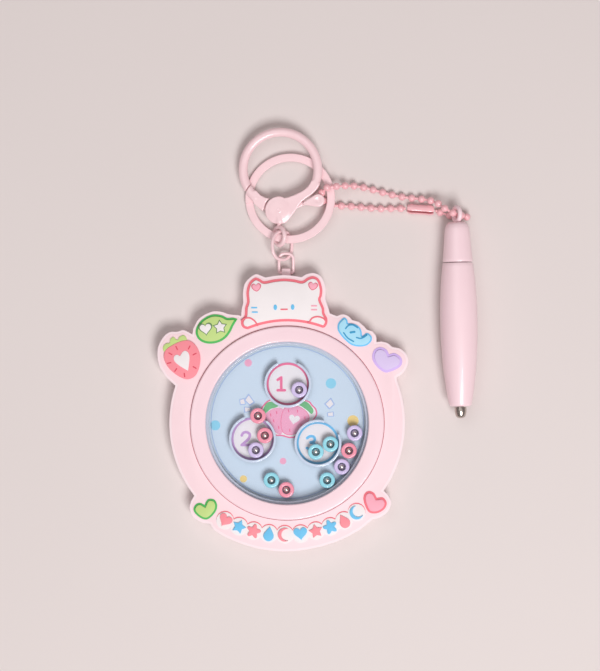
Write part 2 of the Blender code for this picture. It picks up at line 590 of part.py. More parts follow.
def pen():
    """The pen lies along its own -Z: cap with eyelet, hollow barrel, magnet and steel nose."""
    top, nose = Vector(PEN_TOP), Vector(PEN_NOSE)
    down = (nose - top).normalized()
    side = Vector((0, 0, 1)).cross(-down).normalized()
    turn = Matrix((side, (-down).cross(side), -down)).transposed().to_4x4()
    place = empty("pen_axis", PEN_TOP, turn)
    cap = add("pen_cap", turned([
        (0, 0), (2.4, -0.05), (3.4, -0.7), (3.9, -1.7), (4.15, -3.0), (4.6, -8.0), (5.05, -13.4), (3.3, -13.4),
        (3.3, -17.0), (0, -17.0),
    ], 24), "pen", place, 0.0, 0.4)
    out = Vector((math.cos(math.radians(EYELET_TURN)), math.sin(math.radians(EYELET_TURN)), 0))
    frames = []
    for i in range(18):
        a = math.tau * i / 18
        spoke = out * math.cos(a) + Vector((0, 0, math.sin(a)))
        frames.append((Vector((0, 0, 2.6)) + spoke * EYELET_RADIUS, spoke, out.cross(Vector((0, 0, 1)))))
    eyelet = add("eyelet", swept(ellipse(EYELET_WIRE, EYELET_WIRE, 8), frames, True), "pen", place)
    combine(cap, eyelet, "UNION")
    add("pen_barrel", turned([
        (3.65, -13.7), (5.1, -13.7), (5.75, -20), (6.15, -27), (6.25, -33), (6.1, -40), (5.6, -48), (4.8, -55),
        (4.0, -60), (3.7, -61.3), (3.3, -61.6), (1.6, -61.6), (1.6, -60.0), (2.6, -53), (3.65, -47),
    ], 24), "pen", place, 0.0, 0.4)
    add("pen_magnet", turned([(0, -54.2), (1.9, -54.2), (1.9, -57.2), (0, -57.2)], 16), "steel", place, 1.0, 0.3)
    add("pen_tip", turned([
        (0, -58.0), (1.25, -58.0), (1.25, -61.9), (2.0, -61.9), (1.95, -63.6), (1.6, -64.9), (1.0, -65.5), (0, -65.7),
    ], 16), "steel", place, 1.0, 0.2)


def main():
    for thing in list(bpy.data.objects):
        bpy.data.objects.remove(thing)
    rubber_frame()
    pod()
    inlays()
    beads()
    bail_and_link()
    place = empty("clasp_place", EYE_CENTRE, tilt(*CLASP_SLOPE))
    swivel_eye(place)
    clasp(place)
    gate(place)
    key_ring()
    chain()
    pen()


main()
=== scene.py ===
# %% [markdown]
# # A bead-maze keychain
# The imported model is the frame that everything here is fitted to: its solids have the right sizes and places, but
# plain faceted shapes. This notebook gives each of them its finished surface, first the camera and the light, then
# the chain, and then the other pieces from the back of the pod to the clasp and the pen.

# %% Load the frame
import math

import bmesh
import bpy
from mathutils import Matrix, Vector


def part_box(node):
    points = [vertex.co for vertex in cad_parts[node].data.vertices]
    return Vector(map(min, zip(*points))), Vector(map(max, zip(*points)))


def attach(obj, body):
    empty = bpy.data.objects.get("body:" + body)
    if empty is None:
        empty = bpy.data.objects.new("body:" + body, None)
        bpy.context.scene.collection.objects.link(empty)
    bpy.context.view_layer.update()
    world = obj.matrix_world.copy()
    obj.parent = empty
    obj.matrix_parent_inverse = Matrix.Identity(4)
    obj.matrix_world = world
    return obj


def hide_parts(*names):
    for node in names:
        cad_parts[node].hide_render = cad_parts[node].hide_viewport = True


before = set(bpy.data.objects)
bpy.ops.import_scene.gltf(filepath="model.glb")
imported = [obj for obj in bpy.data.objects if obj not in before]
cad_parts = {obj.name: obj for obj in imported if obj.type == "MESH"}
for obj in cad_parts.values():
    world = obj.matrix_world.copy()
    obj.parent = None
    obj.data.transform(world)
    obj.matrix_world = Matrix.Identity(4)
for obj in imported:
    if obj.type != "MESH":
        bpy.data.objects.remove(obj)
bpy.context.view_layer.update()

# %% [markdown]
# The object is about 14 cm long, so its sizes read best in millimetres. Every helper below takes millimetres, and
# `piece` turns them into metres in one place, where the mesh becomes an object. It also does what each piece needs:
# a smooth surface with sharp edges kept, a material, the body that it moves with and the solids that it stands for.

# %% Millimetres, colours and pieces
MM = 0.001
SHARP_ANGLE = math.radians(35)


def srgb(red, green, blue):
    """A screen colour of 0 to 255 as the linear values that shaders use."""
    linear = []
    for value in (red, green, blue):
        share = value / 255
        linear.append(share / 12.92 if share < 0.04045 else ((share + 0.055) / 1.055) ** 2.4)
    return (*linear, 1.0)


def linked(name, data):
    """A new object in the scene."""
    made = bpy.data.objects.new(name, data)
    bpy.context.collection.objects.link(made)
    return made


def piece(name, bm, finish, body, *nodes, slot=None):
    """Makes an object of a bmesh in millimetres that rides on a body and replaces CAD nodes."""
    bmesh.ops.scale(bm, vec=(MM, MM, MM), verts=bm.verts)
    bmesh.ops.recalc_face_normals(bm, faces=bm.faces)
    mesh = bpy.data.meshes.new(name)
    bm.to_mesh(mesh)
    bm.free()
    mesh.shade_smooth()
    mesh.set_sharp_from_angle(angle=SHARP_ANGLE)
    mesh.materials.append(finish)
    return settle(linked(name, mesh), body, *nodes, slot=slot)


def settle(made, body, *nodes, slot=None):
    """Gives a finished object its body and hides the nodes that it replaces; its slot is not used."""
    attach(made, body)
    if nodes:
        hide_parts(*nodes)
    return made


def box_mm(node):
    """A CAD node's lowest and highest corners in millimetres."""
    return [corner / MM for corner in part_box(node)]


def spin_by(degrees, axis):
    """A turn about X, Y or Z."""
    return Matrix.Rotation(math.radians(degrees), 4, axis)


print("One millimetre is", MM, "m")

# %% [markdown]
# The keychain is looked at from straight above. A long lens a good way off keeps the round window round. The main
# light is one large soft panel on the viewer's right, so that soft shadows fall up and to the left. A weaker panel on
# the other side and a warm surround fill them in. The colours are pastels, which the standard view keeps as they are.

# %% Camera, light and floor
VIEW_CENTRE = (4.3, 29.3)
VIEW_HEIGHT = 226.0
CAMERA_HEIGHT = 900.0
SENSOR = 36.0

lens = bpy.data.cameras.new("camera")
lens.sensor_width = SENSOR
lens.lens = SENSOR * CAMERA_HEIGHT / VIEW_HEIGHT
lens.clip_start = 0.01
lens.clip_end = 10.0
camera = linked("camera", lens)
camera.location = Vector((*VIEW_CENTRE, CAMERA_HEIGHT)) * MM
bpy.context.scene.camera = camera
bpy.context.scene.view_settings.view_transform = "Standard"


def panel(name, place, aim, size, power, colour):
    """A square area light, with its place and aim in millimetres."""
    light = bpy.data.lights.new(name, "AREA")
    light.size = size * MM
    light.energy = power
    light.color = colour
    made = linked(name, light)
    made.location = Vector(place) * MM
    made.rotation_euler = (Vector(aim) - Vector(place)).to_track_quat("-Z", "Y").to_euler()


LIGHT_AIM = (0, 30, 0)
WORLD_COLOUR = (1.0, 0.9, 0.89, 1.0)
WORLD_STRENGTH = 0.24
panel("key_panel", (270, -520, 1060), LIGHT_AIM, 520, 10.7, (1.0, 0.992, 0.988))
panel("top_panel", (-300, 360, 1080), LIGHT_AIM, 800, 2.5, (1.0, 0.98, 0.98))

world = bpy.data.worlds.new("studio")
world.use_nodes = True
background = world.node_tree.nodes["Background"].inputs
background["Color"].default_value = WORLD_COLOUR
background["Strength"].default_value = WORLD_STRENGTH
bpy.context.scene.world = world
print("Lens:", round(lens.lens, 1), "mm")

# %% [markdown]
# Materials are graphs of nodes, and long graphs are hard to read as links. Here a small class wraps a socket so
# that shader maths is plain Python: `cloud * 0.16 + 0.4` adds its own Math nodes. A `Finish` holds one material,
# and its `add` makes every other kind of node.

# %% Shader helpers
class Value:
    """A socket that Python's operators extend with Math nodes."""

    def __init__(self, finish, socket):
        self.finish = finish
        self.socket = socket

    def maths(self, operation, first, second):
        return self.finish.add("ShaderNodeMath", {"operation": operation}, {0: first, 1: second})

    def __add__(self, other):
        return self.maths("ADD", self, other)

    def __mul__(self, other):
        return self.maths("MULTIPLY", self, other)

    __radd__ = __add__
    __rmul__ = __mul__


class Finish:
    """A Principled material whose nodes are added one by one."""

    def __init__(self, name, **constants):
        self.material = bpy.data.materials.new(name)
        self.material.use_nodes = True
        self.tree = self.material.node_tree
        self.shader = self.tree.nodes["Principled BSDF"]
        self.place = self.add("ShaderNodeTexCoord", {}, {}, "Object")
        for socket, value in constants.items():
            self.shader.inputs[socket.replace("_", " ")].default_value = value

    def add(self, kind, settings, inputs, output=0):
        """Makes a node, with its settings first, and returns one of its outputs."""
        node = self.tree.nodes.new(kind)
        for name, value in settings.items():
            setattr(node, name, value)
        self.fill(node, inputs)
        return Value(self, node.outputs[output])

    def fill(self, node, inputs):
        """Links or sets a node's inputs."""
        for name, value in inputs.items():
            if isinstance(value, Value):
                self.tree.links.new(value.socket, node.inputs[name])
            else:
                node.inputs[name].default_value = value

    def noise(self, scale, detail=2.0, stretch=None):
        """Noise from 0 to 1 on Object coordinates; scale is how many features a metre holds."""
        place = self.place
        if stretch:
            place = self.add("ShaderNodeMapping", {}, {"Vector": place, "Scale": stretch})
        return self.add("ShaderNodeTexNoise", {}, {"Vector": place, "Scale": scale, "Detail": detail})

    def mix(self, share, first, second):
        """A colour between two others."""
        return self.add("ShaderNodeMix", {"data_type": "RGBA"}, {0: share, 6: first, 7: second}, 2)

    def output(self, **inputs):
        """Links the shader's own sockets and returns the material."""
        self.fill(self.shader, {name.replace("_", " "): value for name, value in inputs.items()})
        return self.material

    def bump(self, height, strength, distance):
        return self.add("ShaderNodeBump", {}, {"Height": height, "Strength": strength, "Distance": distance})


def shade(colour, share):
    """The colour made darker, or lighter if share is over 1."""
    return (*[min(channel * share, 1.0) for channel in colour[:3]], 1.0)


print("Shader helpers are ready")

# %% [markdown]
# **Soft vinyl.** The frame and its fills are moulded soft PVC. It is matte to satin, with a very fine grain from
# the mould, a faint cloudiness in the colour and slightly glossier patches where it has been handled.

# %% Soft vinyl
def soft_vinyl(name, colour, roughness=0.5):
    finish = Finish(name, IOR=1.45, Specular_IOR_Level=0.4)
    cloud = finish.noise(160.0, 3.0)
    grain = finish.noise(5200.0, 3.0)
    tint = finish.mix(cloud, shade(colour, 0.97), shade(colour, 1.02))
    return finish.output(
        Base_Color=tint, Roughness=cloud * 0.16 + (roughness - 0.08), Normal=finish.bump(grain, 0.22, 0.00003)
    )


# Two colours here are painted light: the dark rose in the gap round the pod is painted shade, and the paler blush of
# the frame's rim is a painted highlight.
VINYL_COLOURS = {
    "blush": (255, 224, 230), "rim_highlight_blush": (255, 233, 238), "lip": (206, 96, 108),
    "milk_white": (246, 240, 241), "coral": (246, 122, 136), "berry": (254, 148, 160), "seed": (226, 80, 100),
    "light_pink": (252, 176, 194), "rose_edge": (226, 120, 138), "leaf": (198, 224, 138),
    "leaf_edge": (78, 186, 92), "moss": (108, 142, 96), "sky": (172, 228, 251), "sky_edge": (112, 200, 245),
    "deep_sky": (58, 160, 208), "lilac": (222, 204, 244), "lilac_edge": (214, 186, 244),
}
vinyl = {name: soft_vinyl(f"{name}_vinyl", srgb(*colour)) for name, colour in VINYL_COLOURS.items()}
print("Vinyl colours:", len(vinyl))

# %% [markdown]
# **Hard plastic and clear plastic.** The bezel, the beads and the pen are moulded hard plastic: a clean gloss over
# a colour that hardly varies, with the slow waviness of a moulded surface. The lid and the tray's floor are clear.
# Real refraction would hide the print behind noise, so they are made see-through by Alpha instead, a little more
# solid at grazing angles. The upright walls are seen on edge, where clear plastic looks milky, so they are a pale
# opaque gloss.

# %% Hard and clear plastic
def gloss_plastic(name, colour, roughness=0.22):
    finish = Finish(name, IOR=1.5, Coat_Roughness=0.08)
    wave = finish.noise(90.0, 1.0)
    speck = finish.noise(2600.0, 2.0)
    tint = finish.mix(wave, shade(colour, 0.975), shade(colour, 1.015))
    return finish.output(
        Base_Color=tint, Roughness=speck * 0.08 + (roughness - 0.04), Coat_Weight=wave * 0.2 + 0.2,
        Normal=finish.bump(wave, 0.12, 0.0004),
    )


def clear_plastic(name, colour, solid, side, roughness=0.06):
    finish = Finish(name, IOR=1.45)
    facing = finish.add("ShaderNodeLayerWeight", {}, {"Blend": 0.35}, "Facing")
    smear = finish.noise(240.0, 3.0)
    return finish.output(
        Base_Color=finish.mix(facing, colour, shade(colour, 0.72)), Roughness=smear * 0.05 + roughness,
        Alpha=facing * side + solid,
    )


bezel_plastic = gloss_plastic("bezel_plastic", srgb(255, 224, 232), 0.3)
pen_plastic = gloss_plastic("pen_plastic", srgb(255, 224, 231), 0.36)
lid_clear = clear_plastic("lid_clear", srgb(236, 242, 252), 0.012, 0.14)
tray_clear = clear_plastic("tray_clear", srgb(226, 234, 248), 0.012, 0.1)
wall_plastic = gloss_plastic("wall_plastic", srgb(210, 224, 245), 0.12)
rim_plastic = gloss_plastic("rim_plastic", srgb(206, 214, 232), 0.12)
bead_colours = {
    "rose": gloss_plastic("rose_bead", srgb(255, 158, 180)),
    "lilac": gloss_plastic("lilac_bead", srgb(220, 204, 246)),
    "aqua": gloss_plastic("aqua_bead", srgb(154, 228, 244)),
}
print("Bead colours:", sorted(bead_colours))

# %% [markdown]
# **Metal.** The clasp, rings and chain are cast or bent metal under a thick pink enamel. Enamel is a painted
# colour under a clear coat, thicker in the hollows, so its gloss is soft and a little uneven. The pen's nose and
# the balls are bare steel, with the fine turning marks of a lathe.

# %% Metals
def enamel(name, colour):
    finish = Finish(name, IOR=1.5, Coat_Roughness=0.12)
    pool = finish.noise(420.0, 2.0)
    speck = finish.noise(4200.0, 2.0)
    tint = finish.mix(pool, shade(colour, 0.95), shade(colour, 1.03))
    return finish.output(
        Base_Color=tint, Roughness=speck * 0.12 + 0.26, Coat_Weight=pool * 0.3 + 0.35,
        Normal=finish.bump(pool + speck * 0.15, 0.2, 0.00012),
    )


def bare_steel(name, colour, roughness):
    finish = Finish(name, Metallic=1.0)
    turning = finish.noise(900.0, 3.0, (0.15, 6.0, 0.15))
    stain = finish.noise(500.0, 2.0)
    tint = finish.mix(stain, shade(colour, 0.8), colour)
    return finish.output(
        Base_Color=tint, Roughness=turning * 0.16 + roughness, Normal=finish.bump(turning, 0.1, 0.00002)
    )


pink_enamel = enamel("pink_enamel", srgb(255, 219, 224))
chain_enamel = enamel("chain_enamel", srgb(253, 192, 199))
nose_steel = bare_steel("nose_steel", srgb(206, 196, 188), 0.16)
ball_steel = bare_steel("ball_steel", srgb(236, 230, 226), 0.24)
print("Enamels:", pink_enamel.name, chain_enamel.name)

# %% [markdown]
# **Card and inks.** Under the tray lies a printed card: uncoated paper with a faint fibre, and flat inks that let
# a little of the paper show through.

# %% Card and inks
def paper(name, colour):
    finish = Finish(name, Roughness=0.7, IOR=1.4)
    fibre = finish.noise(1500.0, 4.0, (1.0, 0.25, 1.0))
    cloud = finish.noise(60.0, 1.0)
    tint = finish.mix(fibre * 0.12 + cloud * 0.3, colour, shade(colour, 0.93))
    return finish.output(Base_Color=tint, Normal=finish.bump(fibre, 0.12, 0.00002))


card_blue = paper("card_blue", srgb(217, 236, 255))
INK_COLOURS = {
    "white": (250, 246, 252), "pink": (255, 180, 214), "rose": (250, 122, 168), "purple": (208, 166, 226),
    "blue": (150, 225, 255), "line": (172, 200, 246), "yellow": (255, 226, 146), "green": (120, 200, 140),
    "sky": (116, 204, 255),
}
inks = {name: paper(f"{name}_ink", srgb(*colour)) for name, colour in INK_COLOURS.items()}
print("Inks:", ", ".join(inks))

# %% [markdown]
# The floor is one plain pale sheet, far larger than the view.

# %% Floor
floor_finish = Finish("pale_floor", Roughness=0.85)
floor_paint = floor_finish.output(Base_Color=floor_finish.mix(
    floor_finish.noise(9.0, 2.0), srgb(226, 217, 215), srgb(229, 220, 218)
))
bm = bmesh.new()
bmesh.ops.create_grid(bm, x_segments=1, y_segments=1, size=3.0)
floor_mesh = bpy.data.meshes.new("floor")
bm.to_mesh(floor_mesh)
bm.free()
floor_mesh.materials.append(floor_paint)
floor = linked("floor", floor_mesh)
print("Floor:", floor.dimensions[:])

# %% [markdown]
# Three ways of making a solid serve nearly every piece. A profile is **spun** about an axis, a flat outline is
# **extruded** into a plate with softened edges, and a section is **carried** along a path by a curve's bevel.
# Smooth outlines come from a few points with a Catmull-Rom curve through them.

# %% Shape helpers
ROUND = 128


def arc(centre, radius, start, end, steps):
    """Points on an arc between two angles in degrees, both ends included."""
    angles = [math.radians(start + (end - start) * i / steps) for i in range(steps + 1)]
    return [(centre[0] + radius * math.cos(a), centre[1] + radius * math.sin(a)) for a in angles]


CIRCLE = arc((0, 0), 1.0, 0, 345, 23)


def curve(points, steps=6, closed=False):
    """A Catmull-Rom curve through the points."""
    around = [Vector(p) for p in points]
    if closed:
        around = [around[-1]] + around + around[:2]
    else:
        around = [2 * around[0] - around[1]] + around + [2 * around[-1] - around[-2]]
    made = []
    for a, b, c, d in zip(around, around[1:], around[2:], around[3:]):
        for i in range(steps):
            t = i / steps
            made.append(
                0.5 * (2 * b + (c - a) * t + (2 * a - 5 * b + 4 * c - d) * t**2 + (3 * b - a - 3 * c + d) * t**3)
            )
    if not closed:
        made.append(around[-2])
    return [tuple(p) for p in made]


def loop(*strokes):
    """Smooth strokes joined end to end, each starting where the one before ends, with a corner there."""
    made = []
    for stroke in strokes:
        made += curve(stroke)[:-1]
    return made


def turned(profile, steps=ROUND, angle=360):
    """A closed profile of (radius, height) spun about Z."""
    bm = bmesh.new()
    verts = [bm.verts.new((r, 0, z)) for r, z in profile]
    edges = [bm.edges.new(pair) for pair in zip(verts, verts[1:])]
    if profile[0][0] > 0:
        edges.append(bm.edges.new((verts[-1], verts[0])))
    bmesh.ops.spin(
        bm, geom=verts + edges, cent=(0, 0, 0), axis=(0, 0, 1), angle=math.radians(angle), steps=steps,
        use_merge=angle == 360,
    )
    bmesh.ops.remove_doubles(bm, verts=bm.verts, dist=0.0001)
    if angle < 360:
        bmesh.ops.holes_fill(bm, edges=[e for e in bm.edges if e.is_boundary], sides=0)
    return bm


def soften(bm, edges, width):
    """Rounds edges with three segments."""
    bmesh.ops.bevel(
        bm, geom=edges, offset=width, offset_type="OFFSET", affect="EDGES", segments=3, profile=0.5, material=-1,
        clamp_overlap=True,
    )


def plate(outline, low, high, edge=0.0, inset=0.0):
    """A flat outline extruded from low to high, drawn in by inset, with its top edge rounded by edge."""
    bm = bmesh.new()
    face = bm.faces.new([bm.verts.new((x, y, low)) for x, y in outline])
    face.normal_update()
    if inset:
        bmesh.ops.inset_region(bm, faces=[face], thickness=inset, use_even_offset=True, use_boundary=True)
        ring = [f for f in bm.faces if f is not face]
        bmesh.ops.delete(bm, geom=ring, context="FACES")
        bmesh.ops.remove_doubles(bm, verts=bm.verts, dist=0.02)
    raised = bmesh.ops.extrude_face_region(bm, geom=bm.faces[:])["geom"]
    bmesh.ops.translate(bm, vec=(0, 0, high - low), verts=[v for v in raised if isinstance(v, bmesh.types.BMVert)])
    if edge:
        soften(bm, [e for e in bm.edges if all(v.co.z > high - 0.001 for v in e.verts)], edge)
    return bm


def merge(target, *others):
    """Adds other bmeshes to the first and frees them."""
    for other in others:
        mesh = bpy.data.meshes.new("part")
        other.to_mesh(mesh)
        other.free()
        target.from_mesh(mesh)
        bpy.data.meshes.remove(mesh)
    return target


def placed(bm, matrix):
    bmesh.ops.transform(bm, matrix=matrix, verts=bm.verts)
    return bm


print("Round pieces have", ROUND, "sides")

# %% [markdown]
# **Ball chain.** Hollow balls are strung on short stiff wires, so the chain bends at every ball. The route is the
# CAD tube's own: out of the connector, under the split ring, up through it and over its band, down to the table,
# and through the pen's eyelet on the way back. Small spheres and rods joined in one mesh keep it one cord.

# %% Chain route
CHAIN_BALL = 1.2
BALL_GROWTH = 1.04
CHAIN_PITCH = 3.35
CHAIN_WIRE = 0.42
CONNECTOR_GAP = 0.6
CHAIN_ROUTE = [Vector(p) * MM for p in [
    (39.8, 72.0, 1.5), (36.0, 72.0, 1.25), (31.0, 71.95, 1.25), (26.0, 72.3, 1.25), (21.0, 72.75, 1.25),
    (17.0, 72.95, 1.25), (14.4, 73.2, 1.3), (12.4, 74.2, 1.6), (11.5, 76.3, 2.6), (12.2, 78.2, 4.9),
    (13.9, 79.0, 5.7), (15.9, 79.2, 5.3), (18.2, 79.4, 4.2), (21.0, 79.6, 2.7), (24.5, 79.3, 1.6),
    (28.5, 78.4, 1.25), (33.0, 77.2, 1.25), (38.0, 76.0, 1.25), (43.0, 75.4, 1.3), (47.0, 74.9, 2.2),
    (50.0, 73.9, 4.2), (52.2, 72.2, 6.4), (54.3, 70.7, 7.35), (56.85, 69.9, 6.25), (59.2, 69.3, 4.9),
    (60.3, 69.1, 3.1), (59.3, 69.1, 1.6), (56.8, 69.3, 1.25), (54.0, 69.8, 1.25), (51.6, 70.6, 1.3),
    (49.9, 71.3, 1.5),
]]
chain_line = [Vector(p) for p in curve(CHAIN_ROUTE, 12)]


# %% Chain mesh
def spaced(line, pitch):
    """Points at equal steps along a line, half a step in from each end."""
    total = sum((b - a).length for a, b in zip(line, line[1:]))
    count = round(total / pitch)
    wanted = [total * (i + 0.5) / count for i in range(count)]
    made = []
    walked = 0.0
    for a, b in zip(line, line[1:]):
        step = (b - a).length
        while wanted and walked + step >= wanted[0]:
            made.append(a.lerp(b, (wanted.pop(0) - walked) / step))
        walked += step
    return made


def rod(bm, start, end, radius, sides=8):
    """Adds a round rod between two points."""
    along = end - start
    matrix = Matrix.Translation((start + end) / 2) @ along.to_track_quat("Z", "Y").to_matrix().to_4x4()
    bmesh.ops.create_cone(
        bm, cap_ends=True, segments=sides, radius1=radius, radius2=radius, depth=along.length, matrix=matrix
    )


chain_mm = [p / MM for p in chain_line]
balls = spaced(chain_mm, CHAIN_PITCH)
bm = bmesh.new()
for ball in balls:
    bmesh.ops.create_uvsphere(
        bm, u_segments=20, v_segments=12, radius=BALL_GROWTH * CHAIN_BALL, matrix=Matrix.Translation(ball)
    )
stops = [chain_mm[0]] + balls + [chain_mm[-1]]
for a, b in zip(stops, stops[1:]):
    rod(bm, a, b, CHAIN_WIRE)
chain = piece("pink_ball_chain", bm, chain_enamel, "chain", "ball_chain", slot="chain_pink")
print("Balls on the chain:", len(balls))

# %% [markdown]
# The connector is a strip of thin sheet rolled round the last balls, so it is open along one side and drawn in at
# both mouths. A profile spun short of a full turn leaves that slit.

# %% Chain connector
start, end = chain_mm[0], chain_mm[-1]
along = (end - start).normalized()
side = Vector((0, 0, 1)).cross(along).normalized()
sleeve_length = (end - start).length - 2 * CONNECTOR_GAP
half = sleeve_length / 2
sleeve = turned([
    (0.95, -half), (1.2, -half), (1.5, 0.9 - half), (1.56, 1.7 - half), (1.45, 2.6 - half), (1.45, half - 2.6),
    (1.56, half - 1.7), (1.5, half - 0.9), (1.2, half), (0.95, half), (1.24, half - 0.9), (1.3, half - 1.7),
    (1.2, half - 2.6), (1.2, 2.6 - half), (1.3, 1.7 - half), (1.24, 0.9 - half),
], 44, 322)
axes = Matrix((along.cross(side), side, along)).transposed().to_4x4()
flatten = Matrix.Diagonal((0.92, 1.12, 1.0, 1.0))
placed(sleeve, Matrix.Translation((start + end) / 2) @ axes @ flatten @ spin_by(-22, "Z"))
connector = piece("rolled_chain_connector", sleeve, chain_enamel, "chain", "chain_connector", slot="chain_pink")
print("Connector length:", round(sleeve_length, 1), "mm")

# %% [markdown]
# ** Frame.** One thick moulding of soft vinyl holds everything: a round plate with lobes for the cat's head, the
# berry, the leaf, the ribbon and the hearts, and a broad foot under the row of charms. Its outline is a list of
# smooth strokes between sharp corners, with arcs of the round plate between the lobes. It is extruded, and its
# edges are rounded. The same outline drawn in a little makes the pinker face, which leaves a paler rim all round:
# a painted highlight along the rounded edge. The pod's hole is then cut out of both.

# %% Frame outline
def joined(*parts):
    """Strokes and arcs laid one after another."""
    made = []
    for part in parts:
        made += part
    return made


PLATE_TOP = box_mm("rubber_frame")[1].z
PLATE_RADIUS = 39.4
POD_HOLE_RADIUS = 32.6
frame_outline = joined(
    arc((0, 0), PLATE_RADIUS, 218, 161.5, 40),
    curve([
        (-40.6, 15.5), (-42.9, 19.6), (-43.3, 24.6), (-41.6, 28.5), (-39.3, 30.4), (-36.6, 30.6), (-34.6, 31.1),
        (-31.7, 29.7),
    ]),
    curve([
        (-31.4, 31.6), (-29.4, 35.0), (-25.4, 37.2), (-22.3, 37.3), (-19.3, 36.4), (-16.4, 36.1), (-15.4, 35.8),
    ]),
    curve([
        (-15.2, 38.2), (-14.7, 40.4), (-14.8, 43.4), (-13.9, 47.1), (-10.8, 49.7), (-8.7, 49.3), (-7.3, 48.7),
    ]),
    curve([(-4.6, 49.2), (-1.1, 49.5), (2.4, 49.2), (4.8, 48.8)]),
    curve([(6.4, 49.8), (8.9, 50.2), (11.4, 48.9), (12.8, 45.3), (12.8, 41.6), (13.6, 39.0), (14.3, 36.7)]),
    curve([(16.6, 35.8), (18.6, 36.4), (20.4, 35.8), (21.7, 34.5)]),
    curve([(23.9, 33.9), (25.7, 32.4), (26.6, 31.3)]),
    curve([(28.5, 30.7), (29.7, 29.1), (29.9, 27.1)]),
    curve([
        (31.6, 27.3), (33.7, 26.7), (35.2, 25.5), (37.8, 24.9), (40.0, 22.8), (40.4, 19.8), (38.9, 16.9),
        (36.6, 15.3),
    ]),
    arc((0, 0), PLATE_RADIUS, 21, -35, 40),
    curve([(33.8, -24.1), (34.8, -26.6), (33.7, -29.5), (31.3, -31.4), (28.4, -32.3)]),
    curve([
        (24.6, -35.5), (18.0, -39.0), (9.8, -41.6), (0.5, -42.9), (-9.0, -42.1), (-17.5, -39.5), (-23.8, -36.2),
        (-25.7, -33.7),
    ]),
    curve([(-28.3, -33.3), (-31.3, -31.5), (-32.6, -28.6), (-32.2, -26.2)]),
)
print("Frame outline:", len(frame_outline), "points")


# %% Frame
def apply_modifiers(made):
    """Gives an object the mesh that its modifiers make."""
    bpy.context.view_layer.update()
    shape = bpy.data.meshes.new_from_object(made.evaluated_get(bpy.context.evaluated_depsgraph_get()))
    made.modifiers.clear()
    made.data = shape


def cut(made, tool, operation="DIFFERENCE"):
    """Cuts a bmesh in millimetres out of an object that is already in metres, or joins it on."""
    mesh = bpy.data.meshes.new("tool")
    bmesh.ops.scale(tool, vec=(MM, MM, MM), verts=tool.verts)
    bmesh.ops.recalc_face_normals(tool, faces=tool.faces)
    tool.to_mesh(mesh)
    tool.free()
    cutter = linked("tool", mesh)
    modifier = made.modifiers.new("cut", "BOOLEAN")
    modifier.operation = operation
    modifier.solver = "EXACT"
    modifier.object = cutter
    apply_modifiers(made)
    bpy.data.objects.remove(cutter)
    made.data.set_sharp_from_angle(angle=SHARP_ANGLE)


EDGE = 0.32
HIGHLIGHT_RIM_WIDTH = 0.75
SINK = 0.1
FACE_RISE = 0.06
FACE_EDGE = 0.04
# The frame is paler than its face, so its rim shows as a pale band: a painted highlight along the edge.
body = plate(frame_outline, 0.0, PLATE_TOP, EDGE)
moulding = piece("vinyl_frame", body, vinyl["rim_highlight_blush"], "pod", "rubber_frame", slot="soft_pink_vinyl")
skin = plate(frame_outline, PLATE_TOP - SINK, PLATE_TOP + FACE_RISE, FACE_EDGE, HIGHLIGHT_RIM_WIDTH)
face = piece("vinyl_face", skin, vinyl["blush"], "pod", slot="soft_pink_vinyl")
for part in (moulding, face):
    cut(part, turned([(0, -1), (POD_HOLE_RADIUS, -1), (POD_HOLE_RADIUS, 9), (0, 9)]))
print("Frame faces:", len(moulding.data.polygons))

# %% [markdown]
# **Hanging tab.** A small block of the same vinyl stands out above the cat's head, and the bail's bar runs through
# its bore. The block is a cube with rounded edges, bored by a thin cylinder.

# %% Hanging tab
TAB_CENTRE = (-0.35, 50.4, 1.75)
TAB_WIDTH, TAB_DEPTH, TAB_HEIGHT, TAB_EDGE = 3.0, 5.4, 3.2, 0.4
TAB_BORE = 0.7
TAB_FRONT = 1.4
bm = bmesh.new()
bmesh.ops.create_cube(bm, size=1.0)
bmesh.ops.scale(bm, vec=(TAB_WIDTH, TAB_DEPTH, TAB_HEIGHT), verts=bm.verts)
tab_middle = (TAB_CENTRE[0], TAB_CENTRE[1] - TAB_DEPTH / 2 + TAB_FRONT, TAB_CENTRE[2])
bmesh.ops.translate(bm, vec=tab_middle, verts=bm.verts)
soften(bm, bm.edges[:], TAB_EDGE)
tab = piece("hanging_tab", bm, vinyl["blush"], "pod", slot="soft_pink_vinyl")
bore = turned([(0, -4), (TAB_BORE, -4), (TAB_BORE, 4), (0, 4)], 32)
cut(tab, placed(bore, Matrix.Translation(TAB_CENTRE) @ spin_by(90, "Y")))
print("Tab faces:", len(tab.data.polygons))

# %% [markdown]
# ** Pod.** The pod is a stack of round pieces: a back shell, the printed card, the clear tray, the clear lid and the
# bezel that clamps them. Each is a profile spun in 128 steps, with rounded edges drawn into the profile, so that the
# light catches them. A thin dark-rose ring fills the gap between frame and pod: painted shade for that gap's shadow.

# %% Pod shells
def rounded(radius_in, radius_out, low, high, edge):
    """A ring's profile with its four corners rounded."""
    profile = []
    for x, z, start in (
        (radius_in + edge, low + edge, 180), (radius_out - edge, low + edge, 270),
        (radius_out - edge, high - edge, 0), (radius_in + edge, high - edge, 90),
    ):
        profile += arc((x, z), edge, start, start + 90, 4)
    return profile


